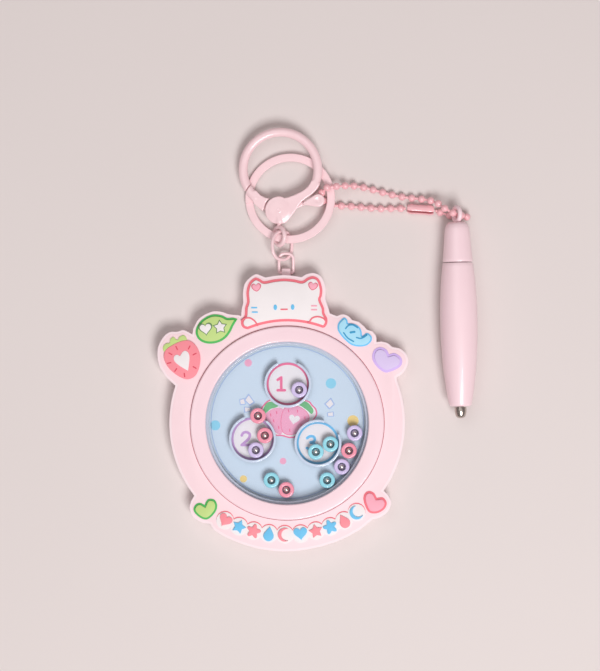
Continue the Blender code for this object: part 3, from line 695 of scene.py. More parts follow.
POD_RADIUS = 32.4
WINDOW_RADIUS = 27.2
shell = turned([
    (0, 0), (31.4, 0), (31.9, 0.12), (32.3, 0.5), (POD_RADIUS, 0.9), (POD_RADIUS, 2.1), (31.8, 2.1), (31.8, 3.3),
    (POD_RADIUS, 3.3), (POD_RADIUS, 4.6), (31.1, 4.6), (31.1, 1.4), (30.9, 1.2), (0, 1.2),
])
piece("back_shell", shell, bezel_plastic, "pod", "pod_back_shell", slot="blush_plastic")
low, high = box_mm("bezel_ring")
bezel = turned(joined(
    arc((WINDOW_RADIUS + 0.5, high.z - 0.5), 0.5, 180, 90, 6),
    arc((POD_RADIUS - 0.6, high.z - 0.6), 0.6, 90, 0, 6),
    [(POD_RADIUS, low.z), (29.2, low.z), (29.2, 6.9), (WINDOW_RADIUS, 6.9)],
))
# Painted shade: a dark-rose ring in the narrow gap between frame and pod, where there is only shadow.
lip = turned(rounded(POD_RADIUS, POD_HOLE_RADIUS + 0.1, 5.2, PLATE_TOP - 0.25, 0.05))
piece("frame_lip", lip, vinyl["lip"], "pod", slot="soft_pink_vinyl")
piece("bezel", bezel, bezel_plastic, "pod", "bezel_ring", slot="blush_plastic")
print("Bezel top:", round(high.z, 2), "mm")

# %% [markdown]
# The tray's floor and the lid are clear discs. The tray's outer wall is a ring. The three well walls are long arcs
# of a ring with rounded ends, open on the side where a bead is drawn in.

# %% Clear tray and lid
WELL_RADIUS = 7.9
WELL_WALL = 0.8
WELLS = [((0.2, 13.0), 62, 118), ((-11.6, -5.4), 50, 112), ((10.3, -6.8), 20, 75)]
low, high = box_mm("clear_tray")
TRAY_RADIUS = high.x
FLOOR_TOP = 2.8
WALL_IN, WALL_OUT = 26.3, 28.2
WELL_TOP = 4.9
tray = turned([(0, low.z), (TRAY_RADIUS, low.z), (TRAY_RADIUS, FLOOR_TOP), (0, FLOOR_TOP)])
piece("tray_floor", tray, tray_clear, "pod", "clear_tray", slot="clear_plastic")
rim = turned(rounded(WALL_IN, WALL_OUT, FLOOR_TOP, high.z, 0.2))
piece("tray_wall", rim, rim_plastic, "pod", slot="clear_plastic")
for number, (centre, first, last) in enumerate(WELLS, 1):
    middle = WELL_RADIUS - WELL_WALL / 2
    ends = [arc((0, 0), middle, angle, angle, 1)[0] for angle in (first + 360, last)]
    wall = joined(
        arc((0, 0), WELL_RADIUS, last, first + 360, 72), arc(ends[0], WELL_WALL / 2, first, first + 180, 8)[1:-1],
        arc((0, 0), WELL_RADIUS - WELL_WALL, first + 360, last, 72),
        arc(ends[1], WELL_WALL / 2, last + 180, last + 360, 8)[1:-1],
    )
    wall = placed(plate(wall, FLOOR_TOP, WELL_TOP, 0.15), Matrix.Translation((*centre, 0)))
    piece(f"well_wall_{number}", wall, wall_plastic, "pod", slot="clear_plastic")
high = box_mm("clear_lid")[1]
lid = turned([
    (0, 5.4), (25.0, 5.4), (25.3, 5.5), (25.5, 5.8), (high.x, 5.8), (high.x, high.z), (0, high.z),
])
piece("lid", lid, lid_clear, "pod", "clear_lid", slot="clear_plastic")
print("Wells:", len(WELLS))

# %% [markdown]
# **Raised vinyl fills.** Each charm on the frame is poured in two levels: a border, and inside it a fill that
# stands a little higher. `inlay` draws both from one outline: the border is the plain plate, and the fill is the
# same outline drawn in by `inset_region`.

# %% Inlays with borders
BORDER_FOOT, BORDER_TOP = PLATE_TOP - SINK, PLATE_TOP + 0.32
BORDER_EDGE = 0.1
FILL_TOP = PLATE_TOP + 0.75
FILL_EDGE = 0.16


def inlay(name, outline, border, edge_colour, fill_colour, node, slot):
    """A bordered fill in place of one of the frame's CAD fills."""
    rim = plate(outline, BORDER_FOOT, BORDER_TOP, BORDER_EDGE)
    piece(f"{name}_border", rim, vinyl[edge_colour], "pod", node, slot=slot)
    fill = plate(outline, PLATE_TOP, FILL_TOP, FILL_EDGE, border)
    piece(f"{name}_fill", fill, vinyl[fill_colour], "pod", slot=slot)


def heart(centre, width, height, turn=0.0, steps=40):
    """A heart's outline from its well-known formula, turned by degrees."""
    a = math.radians(turn)
    made = []
    for i in range(steps):
        t = math.tau * i / steps
        x = width / 32 * 16 * math.sin(t) ** 3
        y = height / 29 * (13 * math.cos(t) - 5 * math.cos(2 * t) - 2 * math.cos(3 * t) - math.cos(4 * t) + 2.5)
        made.append((centre[0] + x * math.cos(a) - y * math.sin(a), centre[1] + x * math.sin(a) + y * math.cos(a)))
    return made[::-1]


def scaled(outline, size, centre, turn):
    a = math.radians(turn)
    return [(
        centre[0] + size * (x * math.cos(a) - y * math.sin(a)), centre[1] + size * (x * math.sin(a) + y * math.cos(a))
    ) for x, y in outline]


cat_outline = joined(
    curve([
        (-13.4, 31.4), (-14.7, 31.9), (-15.4, 33.2), (-15.2, 34.6), (-14.2, 36.0), (-14.0, 38.6), (-13.4, 40.6),
        (-13.6, 43.8), (-12.7, 46.9),
        (-10.7, 48.6), (-9.0, 48.1), (-7.6, 47.4), (-4.4, 48.0), (-1.1, 48.3), (2.4, 48.0), (5.0, 47.5), (6.8, 48.6),
        (8.8, 49.1), (10.7, 48.0), (11.7, 45.0), (11.6, 42.6), (11.2, 41.2), (12.3, 38.6), (12.5, 36.8), (13.3, 35.3),
        (13.5, 34.0), (13.1, 32.7), (12.3, 31.8),
    ], 4)[:-1],
    arc((0, 0), 34.0, 69.5, 112.5, 40),
)
leaf_outline = loop([
    (-16.6, 34.8), (-18.0, 35.25), (-20.0, 35.2), (-22.0, 36.1), (-25.0, 36.3), (-28.0, 34.9), (-30.0, 32.6),
    (-30.6, 30.2), (-29.6, 28.0), (-27.5, 26.8), (-25.0, 26.6), (-22.5, 27.2), (-20.4, 28.6), (-18.9, 30.6),
    (-18.0, 32.5), (-16.6, 34.8),
])
bow_outline = curve([
    (18.8, 35.2), (17.1, 33.4), (16.9, 31.3), (17.8, 29.6), (19.4, 27.8), (21.6, 26.1), (24.2, 25.6), (26.6, 26.0),
    (28.1, 27.4), (28.3, 28.8), (27.4, 29.9), (26.4, 30.1), (25.1, 29.2), (24.9, 30.6), (24.2, 32.1), (22.7, 33.1),
    (21.0, 33.4), (20.3, 33.5), (20.2, 34.2), (19.7, 35.0),
], 5, True)
purple_outline = loop([
    (34.1, 23.0), (33.2, 24.6), (31.3, 25.4), (29.5, 24.8), (28.5, 23.0), (28.7, 20.8), (30.3, 18.5), (32.6, 17.0),
    (34.4, 17.2), (36.2, 17.9), (38.0, 19.1), (38.5, 20.8), (37.8, 22.3), (35.9, 23.4), (34.1, 23.0),
])
green_outline = loop([
    (-27.6, -27.4), (-26.9, -25.9), (-25.9, -25.3), (-24.2, -25.7), (-23.4, -27.5), (-24.0, -29.7), (-26.3, -32.0),
    (-28.5, -31.9), (-30.7, -30.2), (-31.3, -28.5), (-30.3, -27.0), (-28.9, -26.7), (-27.6, -27.4),
])
pink_outline = loop([
    (30.0, -25.0), (29.0, -23.3), (27.3, -22.7), (26.0, -23.5), (25.5, -25.1), (26.0, -27.4), (27.4, -29.8),
    (30.0, -30.1), (32.4, -28.8), (33.3, -26.7), (32.1, -24.9), (30.0, -25.0),
])
inlay("cat", cat_outline, 0.85, "coral", "milk_white", "cat_face", "white_vinyl")
inlay("leaf", leaf_outline, 0.75, "leaf_edge", "leaf", "leaf_bubble", "leaf_vinyl")
inlay("ribbon", bow_outline, 0.5, "sky_edge", "sky", "ribbon_bow", "sky_vinyl")
inlay("purple_heart", purple_outline, 0.8, "lilac_edge", "lilac", "purple_heart", "purple_vinyl")
inlay("green_heart", green_outline, 0.65, "leaf_edge", "leaf", "green_heart", "leaf_vinyl")
inlay("pink_heart", pink_outline, 0.7, "coral", "light_pink", "pink_heart", "coral_vinyl")
print("Fills stand", round(FILL_TOP - PLATE_TOP, 2), "mm above the frame")

# %% [markdown]
# **Lines.** Whiskers, creases and seeds are short raised strokes. A stroke's outline runs along one side of its
# path, round the end and back along the other.

# %% Strokes
def stroke(points, width, steps=6):
    """The outline of a line with round ends."""
    path = [Vector(p) for p in (curve(points, steps) if len(points) > 2 else points)]
    left, right = [], []
    for i, point in enumerate(path):
        along = (path[min(i + 1, len(path) - 1)] - path[max(i - 1, 0)]).normalized()
        out = Vector((-along.y, along.x)) * width / 2
        left.append(point + out)
        right.append(point - out)
    first = math.degrees(math.atan2(*(path[1] - path[0]).yx))
    last = math.degrees(math.atan2(*(path[-1] - path[-2]).yx))
    outline = [tuple(p) for p in right]
    outline += arc(path[-1], width / 2, last - 90, last + 90, 6)[1:-1]
    outline += [tuple(p) for p in reversed(left)]
    outline += arc(path[0], width / 2, first + 90, first + 270, 6)[1:-1]
    return outline


DETAIL_FOOT, DETAIL_TOP = FILL_TOP - 0.2, FILL_TOP + 0.12
LINE_EDGE = 0.05


def lines(name, strokes, width, high, colour):
    """Several strokes as one piece."""
    made = bmesh.new()
    merge(made, *[plate(stroke(points, width), DETAIL_FOOT, high, LINE_EDGE) for points in strokes])
    piece(name, made, vinyl[colour], "pod")


LINES = [
    ("paw_lines", 0.55, "coral", [
        [(-15.2, 34.2), (-13.9, 35.1), (-12.3, 35.1), (-10.8, 34.1), (-9.9, 32.7)],
        [(7.2, 33.5), (8.4, 35.1), (10.2, 35.6), (12.0, 35.1), (12.7, 34.4)],
    ]),
    ("mouth", 0.5, "coral", [[(-2.0, 38.0), (0.0, 38.05)]]),
    ("left_whiskers", 0.5, "sky_edge", [[(-11.8, 38.6), (-10.2, 38.6)], [(-11.6, 37.1), (-10.0, 37.1)]]),
    ("right_whiskers", 0.5, "light_pink", [[(8.2, 39.2), (9.8, 39.2)], [(8.2, 37.9), (9.8, 37.9)]]),
    ("ribbon_creases", 0.45, "deep_sky", [
        [(19.5, 31.6), (20.5, 32.6), (22.0, 32.8), (23.5, 31.9)],
        [(23.2, 28.6), (24.5, 28.3), (25.6, 28.7), (26.6, 29.4)], [(18.9, 30.2), (20.2, 28.5), (22.2, 27.3)],
    ]),
    ("ribbon_knot", 0.7, "deep_sky", [[(21.2, 30.3), (22.5, 30.5)]]),
]
for name, width, colour, strokes in LINES:
    lines(name, strokes, width, DETAIL_TOP, colour)
print("Lines are", round(DETAIL_TOP - FILL_TOP, 2), "mm high")

# %% [markdown]
# The cat has two dot eyes and a heart in each ear. The berry is one fill with a leafy cap, a white heart and eight
# seeds that point away from its middle.

# %% Eyes, ears and berry
FIGURE_TOP = FILL_TOP + 0.18
FIGURE_EDGE = 0.06
eyes = bmesh.new()
for centre in ((-3.95, 38.7), (1.85, 38.8)):
    oval = [(centre[0] + 0.6 * x, centre[1] + 0.95 * y) for x, y in CIRCLE]
    merge(eyes, plate(oval, DETAIL_FOOT, DETAIL_TOP, FIGURE_EDGE))
piece("eyes", eyes, vinyl["sky_edge"], "pod")
EAR_HEART = curve([
    (0, 0.75), (-0.5, 1.2), (-1.15, 1.15), (-1.6, 0.5), (-1.3, -0.4), (-0.65, -1.05), (0, -1.35), (0.65, -1.05),
    (1.3, -0.4), (1.6, 0.5), (1.15, 1.15), (0.5, 1.2),
], 4, True)
for name, size, high, colour in (
    ("ear_borders", 1.05, DETAIL_TOP - 0.04, "rose_edge"), ("ear_fills", 0.82, DETAIL_TOP + 0.05, "light_pink"),
):
    ears = bmesh.new()
    for centre, turn in (((-10.3, 45.4), 6), ((8.6, 45.8), -10)):
        merge(ears, plate(scaled(EAR_HEART, size, centre, turn), DETAIL_FOOT, high, FIGURE_EDGE))
    piece(name, ears, vinyl[colour], "pod")

berry_outline = curve([
    (-40.6, 24.4), (-38.5, 26.0), (-36.0, 27.2), (-33.5, 27.7), (-31.3, 26.8), (-29.6, 24.4), (-29.0, 21.8),
    (-29.4, 18.6), (-30.6, 16.0), (-32.5, 14.8), (-34.6, 14.9), (-37.5, 16.5), (-40.0, 19.0), (-41.2, 22.0),
], 6, True)
cap_outline = curve([
    (-40.9, 23.9), (-41.5, 25.3), (-40.5, 26.6), (-39.3, 26.8), (-39.1, 28.0), (-38.0, 28.8), (-37.1, 28.0),
    (-36.5, 27.9), (-36.0, 28.8), (-34.6, 29.4), (-33.6, 28.4), (-33.8, 27.5), (-35.5, 27.0), (-38.0, 26.0),
], 6, True)
white_heart = loop([
    (-35.8, 22.4), (-34.9, 23.8), (-34.0, 24.2), (-33.0, 23.5), (-32.6, 22.0), (-32.8, 19.6), (-33.1, 17.5),
], [
    (-33.1, 17.5), (-35.5, 18.9), (-37.3, 20.3), (-37.9, 21.5), (-37.6, 22.5), (-36.7, 22.9), (-35.8, 22.4),
])
berry = plate(berry_outline, BORDER_FOOT, FILL_TOP, 0.2)
piece("berry", berry, vinyl["berry"], "pod", "strawberry", slot="coral_vinyl")
piece("berry_cap", plate(cap_outline, BORDER_FOOT, FILL_TOP - 0.25, 0.12), vinyl["leaf"], "pod")
piece("berry_heart", plate(white_heart, PLATE_TOP, FIGURE_TOP, 0.12), vinyl["milk_white"], "pod")
SEED_LENGTH = 1.1
berry_middle = Vector((-35.0, 21.0))
seeds = []
for place in (
    (-36.9, 25.1), (-32.7, 25.3), (-39.0, 23.2), (-30.9, 23.1), (-39.4, 20.1), (-30.9, 18.6), (-37.2, 17.8),
    (-34.3, 16.1),
):
    away = (Vector(place) - berry_middle).normalized() * SEED_LENGTH / 2
    seeds.append([Vector(place) - away, Vector(place) + away])
lines("berry_seeds", seeds, 0.42, FILL_TOP + 0.06, "seed")
print("Seeds:", len(seeds))

# %% [markdown]
# **Charm row.** Ten small charms stand along the frame's foot on a white band with a scalloped edge. The band is the
# union of ten discs. Its outline is worked out directly: every disc gives an arc that ends where it meets the next.
# A lower copy in coral, moved towards the window, leaves a thin coral line along the top of the band only: painted
# shadow, on the side where the raised band's shadow falls.

# %% Scalloped band
CHARM_PLACES = [
    (-20.8, -32.6), (-16.1, -34.6), (-11.2, -36.1), (-6.1, -37.0), (-0.8, -37.3), (4.5, -37.1), (9.6, -36.1),
    (14.4, -34.7), (19.0, -32.7), (23.2, -29.9),
]
BAND_DISC = 2.95


def scalloped(places, radius, steps=14):
    """The outline of a row of overlapping discs, anticlockwise."""
    spots = [Vector(p) for p in places]

    def meeting(this, other):
        """The direction of a neighbour, and half the angle between the two meeting points."""
        gap = spots[other] - spots[this]
        return math.degrees(math.atan2(gap.y, gap.x)), math.degrees(math.acos(gap.length / 2 / radius))

    def part(this, before, after):
        first, open_first = meeting(this, before)
        last, open_last = meeting(this, after)
        start, end = first + open_first, last - open_last
        return arc(spots[this], radius, start, end + (360 if end < start else 0), steps)[:-1]

    end = len(spots) - 1
    made = part(0, 1, 1)
    for i in range(1, end):
        made += part(i, i - 1, i + 1)
    made += part(end, end - 1, end - 1)
    for i in range(end - 1, 0, -1):
        made += part(i, i + 1, i - 1)
    return made


band = scalloped(CHARM_PLACES, BAND_DISC)
# Painted shadow: the coral copy shows only along the band's top side, where its shadow falls.
edge = placed(plate(band, BORDER_FOOT, PLATE_TOP + 0.2, 0.05), Matrix.Translation((0.05, 0.35, 0)))
piece("charm_band_painted_shadow", edge, vinyl["coral"], "pod")
top = plate(band, BORDER_FOOT, BORDER_TOP, BORDER_EDGE)
piece("charm_band", top, vinyl["milk_white"], "pod", "charm_row", slot="white_vinyl")
print("Band outline:", len(band), "points")

# %% [markdown]
# The charms are five plain figures: a heart, a star, a flower, a drop and a crescent. Each is drawn about its own
# middle and turned so that its foot points away from the window.

# %% Charms
def star(points=5, outer=1.0, inner=0.5, steps=3):
    """A star with its sides cut into steps, so that its bevel is even."""
    corners = []
    for i in range(2 * points):
        radius = inner if i % 2 else outer
        corners.append(Vector(arc((0, 0), radius, 90 + 180 / points * i, 90, 1)[0]))
    made = []
    for a, b in zip(corners, corners[1:] + corners[:1]):
        made += [tuple(a.lerp(b, i / steps)) for i in range(steps)]
    return made


def flower(petals=5, depth=0.22, steps=60):
    made = []
    for i in range(steps):
        angle = 360 * i / steps
        radius = 0.8 + depth * math.cos(math.radians(petals * (angle - 90)))
        made.append(arc((0, 0), radius, angle, angle, 1)[0])
    return made


def drop():
    """A round drop with its point upwards."""
    return arc((0, -0.3), 0.72, 150, 390, 24) + [(0.38, 0.45), (0.0, 1.0), (-0.38, 0.45)]


def crescent():
    """A moon: a large arc outside, a smaller one inside."""
    return arc((0, 0), 0.95, 60, 300, 28) + arc((0.35, 0), 0.82, 272, 88, 20)


CHARM_SIZE = 2.4
figures = [heart((0, 0), 1.9, 1.75), star(inner=0.55), flower(), drop(), crescent()]
rows = {"coral": bmesh.new(), "sky": bmesh.new()}
for number, place in enumerate(CHARM_PLACES):
    turn = math.degrees(math.atan2(place[1], place[0])) + 90
    outline = scaled(figures[number % len(figures)], CHARM_SIZE, place, turn)
    merge(rows["sky" if number % 2 else "coral"], plate(outline, PLATE_TOP, FILL_TOP + 0.05, 0.14))
piece("coral_charms", rows["coral"], vinyl["berry"], "pod")
piece("sky_charms", rows["sky"], vinyl["sky_edge"], "pod")
print("Charms:", len(CHARM_PLACES))

# %% [markdown]
# On the leaf lie two white figures with a moss outline: a heart and a star.

# %% Leaf figures
for name, growth, high, colour in (
    ("leaf_figure_edges", 1.0, FILL_TOP + 0.1, "moss"), ("leaf_figures", 0.8, FIGURE_TOP, "milk_white"),
):
    made = bmesh.new()
    merge(
        made, plate(scaled(figures[0], 2.5 * growth, (-27.2, 31.3), 8), DETAIL_FOOT, high, FIGURE_EDGE),
        plate(scaled(star(inner=0.56), 2.55 * growth, (-22.4, 32.1), 6), DETAIL_FOOT, high, FIGURE_EDGE),
    )
    piece(name, made, vinyl[colour], "pod")
print("Leaf figures: 2")

# %% [markdown]
# **Printed card.** Flat inks are thin plates, each layer a few hundredths of a millimetre above the one before. A
# ring with a number in it marks each well, a pair of berries fills the middle, and dots and small marks are
# scattered between.

# %% Card
CARD_LOW, CARD_TOP = 1.5, 1.8
INK = 0.025
card = turned([(0, CARD_LOW), (TRAY_RADIUS, CARD_LOW), (TRAY_RADIUS, CARD_TOP), (0, CARD_TOP)])
piece("card", card, card_blue, "pod", "printed_card", slot="printed_card")


def printed(name, ink, layer, *outlines):
    """Flat printed shapes in one ink."""
    made = bmesh.new()
    for number, outline in enumerate(outlines):
        merge(made, plate(outline, CARD_TOP, CARD_TOP + (layer + number / 20) * INK))
    piece(name, made, inks[ink], "pod")


def ring(centre, radius, width, layer):
    made = turned([
        (radius - width / 2, CARD_TOP), (radius + width / 2, CARD_TOP), (radius + width / 2, CARD_TOP + layer * INK),
        (radius - width / 2, CARD_TOP + layer * INK),
    ], 96)
    return placed(made, Matrix.Translation((*centre, 0)))


def disc(centre, radius):
    """The outline of a round dot."""
    return arc(centre, radius, 0, 350, 35)


RING_INKS = ("rose", "purple", "sky")
RING_PRINT, RING_LINE, FILL_PRINT = 6.8, 0.75, 6.9
DIGIT_SHIFT = 2.3
DIGIT_LINE = 0.9
DIGITS = (
    [[(-1.1, 1.4), (0.1, 2.2)], [(0.1, 2.2), (0.1, -2.1)], [(-1.1, -2.1), (1.3, -2.1)]],
    [
        [(-1.4, 1.1), (-0.8, 2.0), (0.3, 2.2), (1.3, 1.5), (1.1, 0.3), (0.0, -0.9), (-1.4, -2.1)],
        [(-1.4, -2.1), (1.5, -2.1)],
    ],
    [
        [(-1.3, 1.6), (-0.4, 2.2), (0.8, 2.1), (1.3, 1.2), (0.8, 0.4), (-0.2, 0.15)],
        [(-0.2, 0.15), (1.0, -0.15), (1.5, -1.1), (0.8, -2.0), (-0.3, -2.2), (-1.4, -1.7)],
    ],
)
for number, (well, ink, digit) in enumerate(zip(WELLS, RING_INKS, DIGITS), 1):
    centre = well[0]
    printed(f"well_fill_{number}", "white", 7, disc(centre, FILL_PRINT))
    piece(f"well_ring_{number}", ring(centre, RING_PRINT, RING_LINE, 8), inks[ink], "pod")
    moved = [[(x + centre[0] - DIGIT_SHIFT, y + centre[1]) for x, y in line] for line in digit]
    printed(f"well_number_{number}", ink, 8, *[stroke(line, DIGIT_LINE) for line in moved])
print("Numbers printed:", len(DIGITS))

# %% Berries, dots and marks
BERRY_RIGHT = [
    (-1.2, 4.2), (0.0, 5.3), (2.0, 5.6), (4.0, 5.2), (6.2, 3.8), (7.3, 1.7), (6.2, -0.6), (4.0, -2.8), (2.0, -3.8),
    (0.0, -3.9), (-1.6, -2.6), (-2.0, 0.8),
]
BERRY_LEFT = [
    (-7.5, 2.5), (-5.6, 4.3), (-3.5, 5.0), (-1.4, 4.4), (-0.8, 1.0), (-2.0, -3.9), (-4.7, -2.6), (-7.0, 0.2),
]


def grown(outline, distance):
    """A smooth closed outline moved outwards."""
    points = [Vector(p) for p in curve(outline, 5, True)]
    middle = sum(points, Vector((0, 0))) / len(points)
    return [tuple(p + (p - middle).normalized() * distance) for p in points][::-1]


BERRY_HALO = [
    (5.6, 7.6), (7.5, 7.2), (8.6, 5.9), (9.8, 4.6), (10.1, 2.8), (9.2, 1.2), (8.2, -0.6), (6.2, -3.0), (3.2, -4.8),
    (0.8, -5.2), (-1.6, -4.6), (-4.4, -4.2), (-7.2, -2.0), (-9.0, 1.2), (-9.3, 3.8), (-8.2, 5.8), (-6.6, 7.4),
    (-4.6, 8.0), (-2.0, 7.6), (0.6, 6.8), (3.2, 7.2),
]
for name, ink, layer, outline, growth in (
    ("border", "rose", 1, BERRY_HALO, 0.0), ("halo", "white", 2, BERRY_HALO, -0.5),
    ("left", "pink", 3, BERRY_LEFT, 0.0),
    ("gap", "rose", 4, BERRY_RIGHT, 0.2), ("right", "pink", 5, BERRY_RIGHT, 0.0),
):
    printed(f"berry_{name}", ink, layer, grown(outline, growth))
leaves = [
    [(-8.0, 4.4), (-7.0, 6.5), (-5.2, 7.0), (-2.4, 6.3), (-3.6, 5.2), (-5.6, 4.6), (-7.3, 3.2)],
    [(3.6, 6.4), (5.6, 7.2), (7.4, 6.3), (8.8, 4.2), (8.2, 2.9), (6.9, 4.0), (5.0, 5.4)],
]
printed("berry_leaves", "green", 6, *[curve(leaf, 5, True) for leaf in leaves])
printed("berry_card_heart", "white", 6, heart((2.3, 0.9), 3.7, 3.3, -12))
CARD_SEEDS = [
    (-5.6, 2.6), (-3.6, 3.4), (-4.6, 0.6), (-2.9, -1.6), (0.4, 4.0), (3.4, 3.9), (5.9, 1.6), (4.6, -0.8), (0.8, -2.6),
]
card_seeds = [stroke([(x, y + 0.35), (x + 0.1, y - 0.35)], 0.35) for x, y in CARD_SEEDS]
printed("berry_card_seeds", "rose", 6, *card_seeds)

MARKS = [
    [(-12.9, 9.1), (-11.4, 7.0), (-12.6, 6.2), (-14.0, 7.6)],
    [(-15.8, 7.6), (-14.6, 7.9), (-14.2, 6.4), (-15.6, 6.2)],
    [(-14.2, 5.1), (-12.5, 5.0), (-12.3, 4.0), (-14.1, 3.7)],
    [(14.6, 7.8), (15.5, 6.2), (14.2, 5.0), (13.0, 6.3)], [(13.7, 3.2), (15.3, 3.5), (15.4, 2.3), (13.8, 2.3)],
]
for name, ink, layer, growth in (("mark_edges", "line", 1, 1.45), ("marks", "white", 3, 1.05)):
    shapes = []
    for mark in MARKS:
        middle = sum((Vector(p) for p in mark), Vector((0, 0))) / len(mark)
        shapes.append([tuple(middle.lerp(Vector(p), growth)) for p in mark])
    printed(name, ink, layer, *shapes)
DOTS = [
    ("pink", (-13.1, 20.1), 1.25), ("blue", (14.7, 13.2), 1.75), ("blue", (-24.2, -0.9), 1.7),
    ("yellow", (22.1, 0.6), 1.9), ("pink", (-1.4, -12.9), 1.1), ("yellow", (-14.7, -18.9), 1.2),
]
for number, (ink, centre, radius) in enumerate(DOTS, 1):
    printed(f"dot_{number}", ink, 1, disc(centre, radius))
piece("card_rim_line", ring((0, 0), 25.6, 0.25, 1), inks["line"], "pod")
print("Dots:", len(DOTS), "and marks:", len(MARKS))

# %% [markdown]
# **Beads.** Each bead is a moulded ring with a rounded rim and a steel ball in its hole. The pen's magnet pulls the
# ball, and the ball takes its ring along. The beads lie where the CAD beads lie.

# %% Beads
BEAD_RADIUS, BEAD_HOLE = 2.65, 1.35
BEAD_LOW, BEAD_HIGH = 3.0, 5.0
BALL_RADIUS = 1.02
BEAD_COLOURS = (
    "lilac", "rose", "rose", "lilac", "aqua", "aqua", "lilac", "rose", "lilac", "aqua", "aqua", "rose",
)
BEAD_ROUND, HOLE_ROUND = 0.5, 0.3
outer, inner = BEAD_RADIUS - BEAD_ROUND, BEAD_HOLE + HOLE_ROUND
for number, colour in enumerate(BEAD_COLOURS, 1):
    low, high = box_mm(f"bead_ring_{number:02d}")
    place = Matrix.Translation(((low.x + high.x) / 2, (low.y + high.y) / 2, 0))
    bead = turned(joined(
        arc((outer, BEAD_HIGH - BEAD_ROUND), BEAD_ROUND, 0, 90, 5),
        arc((inner, BEAD_HIGH - HOLE_ROUND), HOLE_ROUND, 90, 180, 4),
        arc((inner, BEAD_LOW + HOLE_ROUND), HOLE_ROUND, 180, 270, 4),
        arc((outer, BEAD_LOW + BEAD_ROUND), BEAD_ROUND, 270, 360, 5),
    ), 48)
    piece(
        f"ring_bead_{number:02d}", placed(bead, place), bead_colours[colour], f"bead_{number:02d}",
        f"bead_ring_{number:02d}", slot=f"{colour}_plastic",
    )
    ball = bmesh.new()
    bmesh.ops.create_uvsphere(ball, u_segments=24, v_segments=14, radius=BALL_RADIUS)
    place = place @ Matrix.Translation((0, 0, BEAD_LOW + BALL_RADIUS - 0.05))
    piece(
        f"steel_ball_{number:02d}", placed(ball, place), ball_steel, f"bead_{number:02d}",
        f"bead_ball_{number:02d}", slot="bare_steel",
    )
print("Beads:", len(BEAD_COLOURS))

# %% [markdown]
# **Bail and link.** Both are bent wire with a hidden butt joint, so a curve with a round bevel is all they need.
# The bail is a tall loop whose bottom bar runs through the tab. The link is nearly an oval.

# %% Bail and link
def wire(name, points, radius, finish, body, node, slot, closed=True):
    """A round wire along points in millimetres."""
    data = bpy.data.curves.new(name, "CURVE")
    data.dimensions = "3D"
    data.bevel_depth = radius * MM
    data.bevel_resolution = 6
    data.use_fill_caps = True
    spline = data.splines.new("POLY")
    spline.points.add(len(points) - 1)
    for spot, point in zip(spline.points, points):
        spot.co = (*[v * MM for v in point], 1.0)
    spline.use_cyclic_u = closed
    spline.use_smooth = True
    data.materials.append(finish)
    return settle(linked(name, data), body, node, slot=slot)


BAIL_WIRE, BAIL_HALF_WIDTH, BAIL_HEIGHT = 0.5, 2.4, 6.5
tilted = Matrix.Translation(TAB_CENTRE) @ spin_by(9.7, "X")
w, h, top, foot = BAIL_HALF_WIDTH, BAIL_HEIGHT, 1.9, 0.7
outline = joined(
    arc((w - top, h - top), top, 0, 90, 16), arc((top - w, h - top), top, 90, 180, 16),
    arc((foot - w, foot), foot, 180, 270, 10), arc((w - foot, foot), foot, 270, 360, 10),
)
wire("bail_wire", [tilted @ Vector((x, y, 0)) for x, y in outline], BAIL_WIRE, pink_enamel, "bail", "bail",
     "pink_plated")

LINK_CENTRE, LINK_WIRE = (-1.7, 59.45, 3.2), 0.55
LINK_HALF_WIDTH, LINK_HALF_LENGTH, LINK_SQUARE = 4.16, 4.7, 0.87
tilted = Matrix.Translation(LINK_CENTRE) @ spin_by(38.6, "Y")
outline = []
for x, y in arc((0, 0), 1.0, 0, 357, 119):
    outline.append((
        math.copysign(abs(x) ** LINK_SQUARE, x) * LINK_HALF_WIDTH,
        math.copysign(abs(y) ** LINK_SQUARE, y) * LINK_HALF_LENGTH,
    ))
wire("link_wire", [tilted @ Vector((x, y, 0)) for x, y in outline], LINK_WIRE, pink_enamel, "link", "oval_link",
     "pink_plated")
print("Wires are", 2 * BAIL_WIRE, "and", 2 * LINK_WIRE, "mm thick")

# %% [markdown]
# **Cast metal.** The clasp and its gate are zinc castings: every corner is soft, and walls run into each other with
# small fillets. The parts are modelled sharp and joined, then `cast` rebuilds the surface as even small cells and
# smooths them, which rounds all the corners at once, as enamel over a casting does.

# %% Casting
CAST_CELL = 0.16
CAST_SMOOTHING = 24


def cast(made):
    """Rounds an object's corners by a fine remesh and a few rounds of smoothing."""
    remesh = made.modifiers.new("cells", "REMESH")
    remesh.mode = "VOXEL"
    remesh.voxel_size = CAST_CELL * MM
    remesh.use_smooth_shade = True
    soften = made.modifiers.new("soften", "SMOOTH")
    soften.factor = 0.5
    soften.iterations = CAST_SMOOTHING
    apply_modifiers(made)
    return len(made.data.polygons)


def tilt(slope_x, slope_y):
    """The turn that gives a flat piece these rises along X and along Y."""
    normal = Vector((-slope_x, -slope_y, 1.0)).normalized()
    across = Vector((0, 1, 0)).cross(normal).normalized()
    return Matrix((across, normal.cross(across), normal)).transposed().to_4x4()


CLASP_HALF = 1.3
HOOP_CENTRE, HOOP_RADIUS, HOOP_WIRE = (-2.2, 84.9), 12.55, 1.55
EYE_CENTRE = (-2.6, 62.7, 3.3)
RIVET = (-2.7, 71.3)
GATE_REACH = 13.0
clasp_tilt = tilt(0.05, 0.05)
flat_clasp = Matrix.Translation(EYE_CENTRE) @ clasp_tilt @ Matrix.Translation((-EYE_CENTRE[0], -EYE_CENTRE[1], 0))


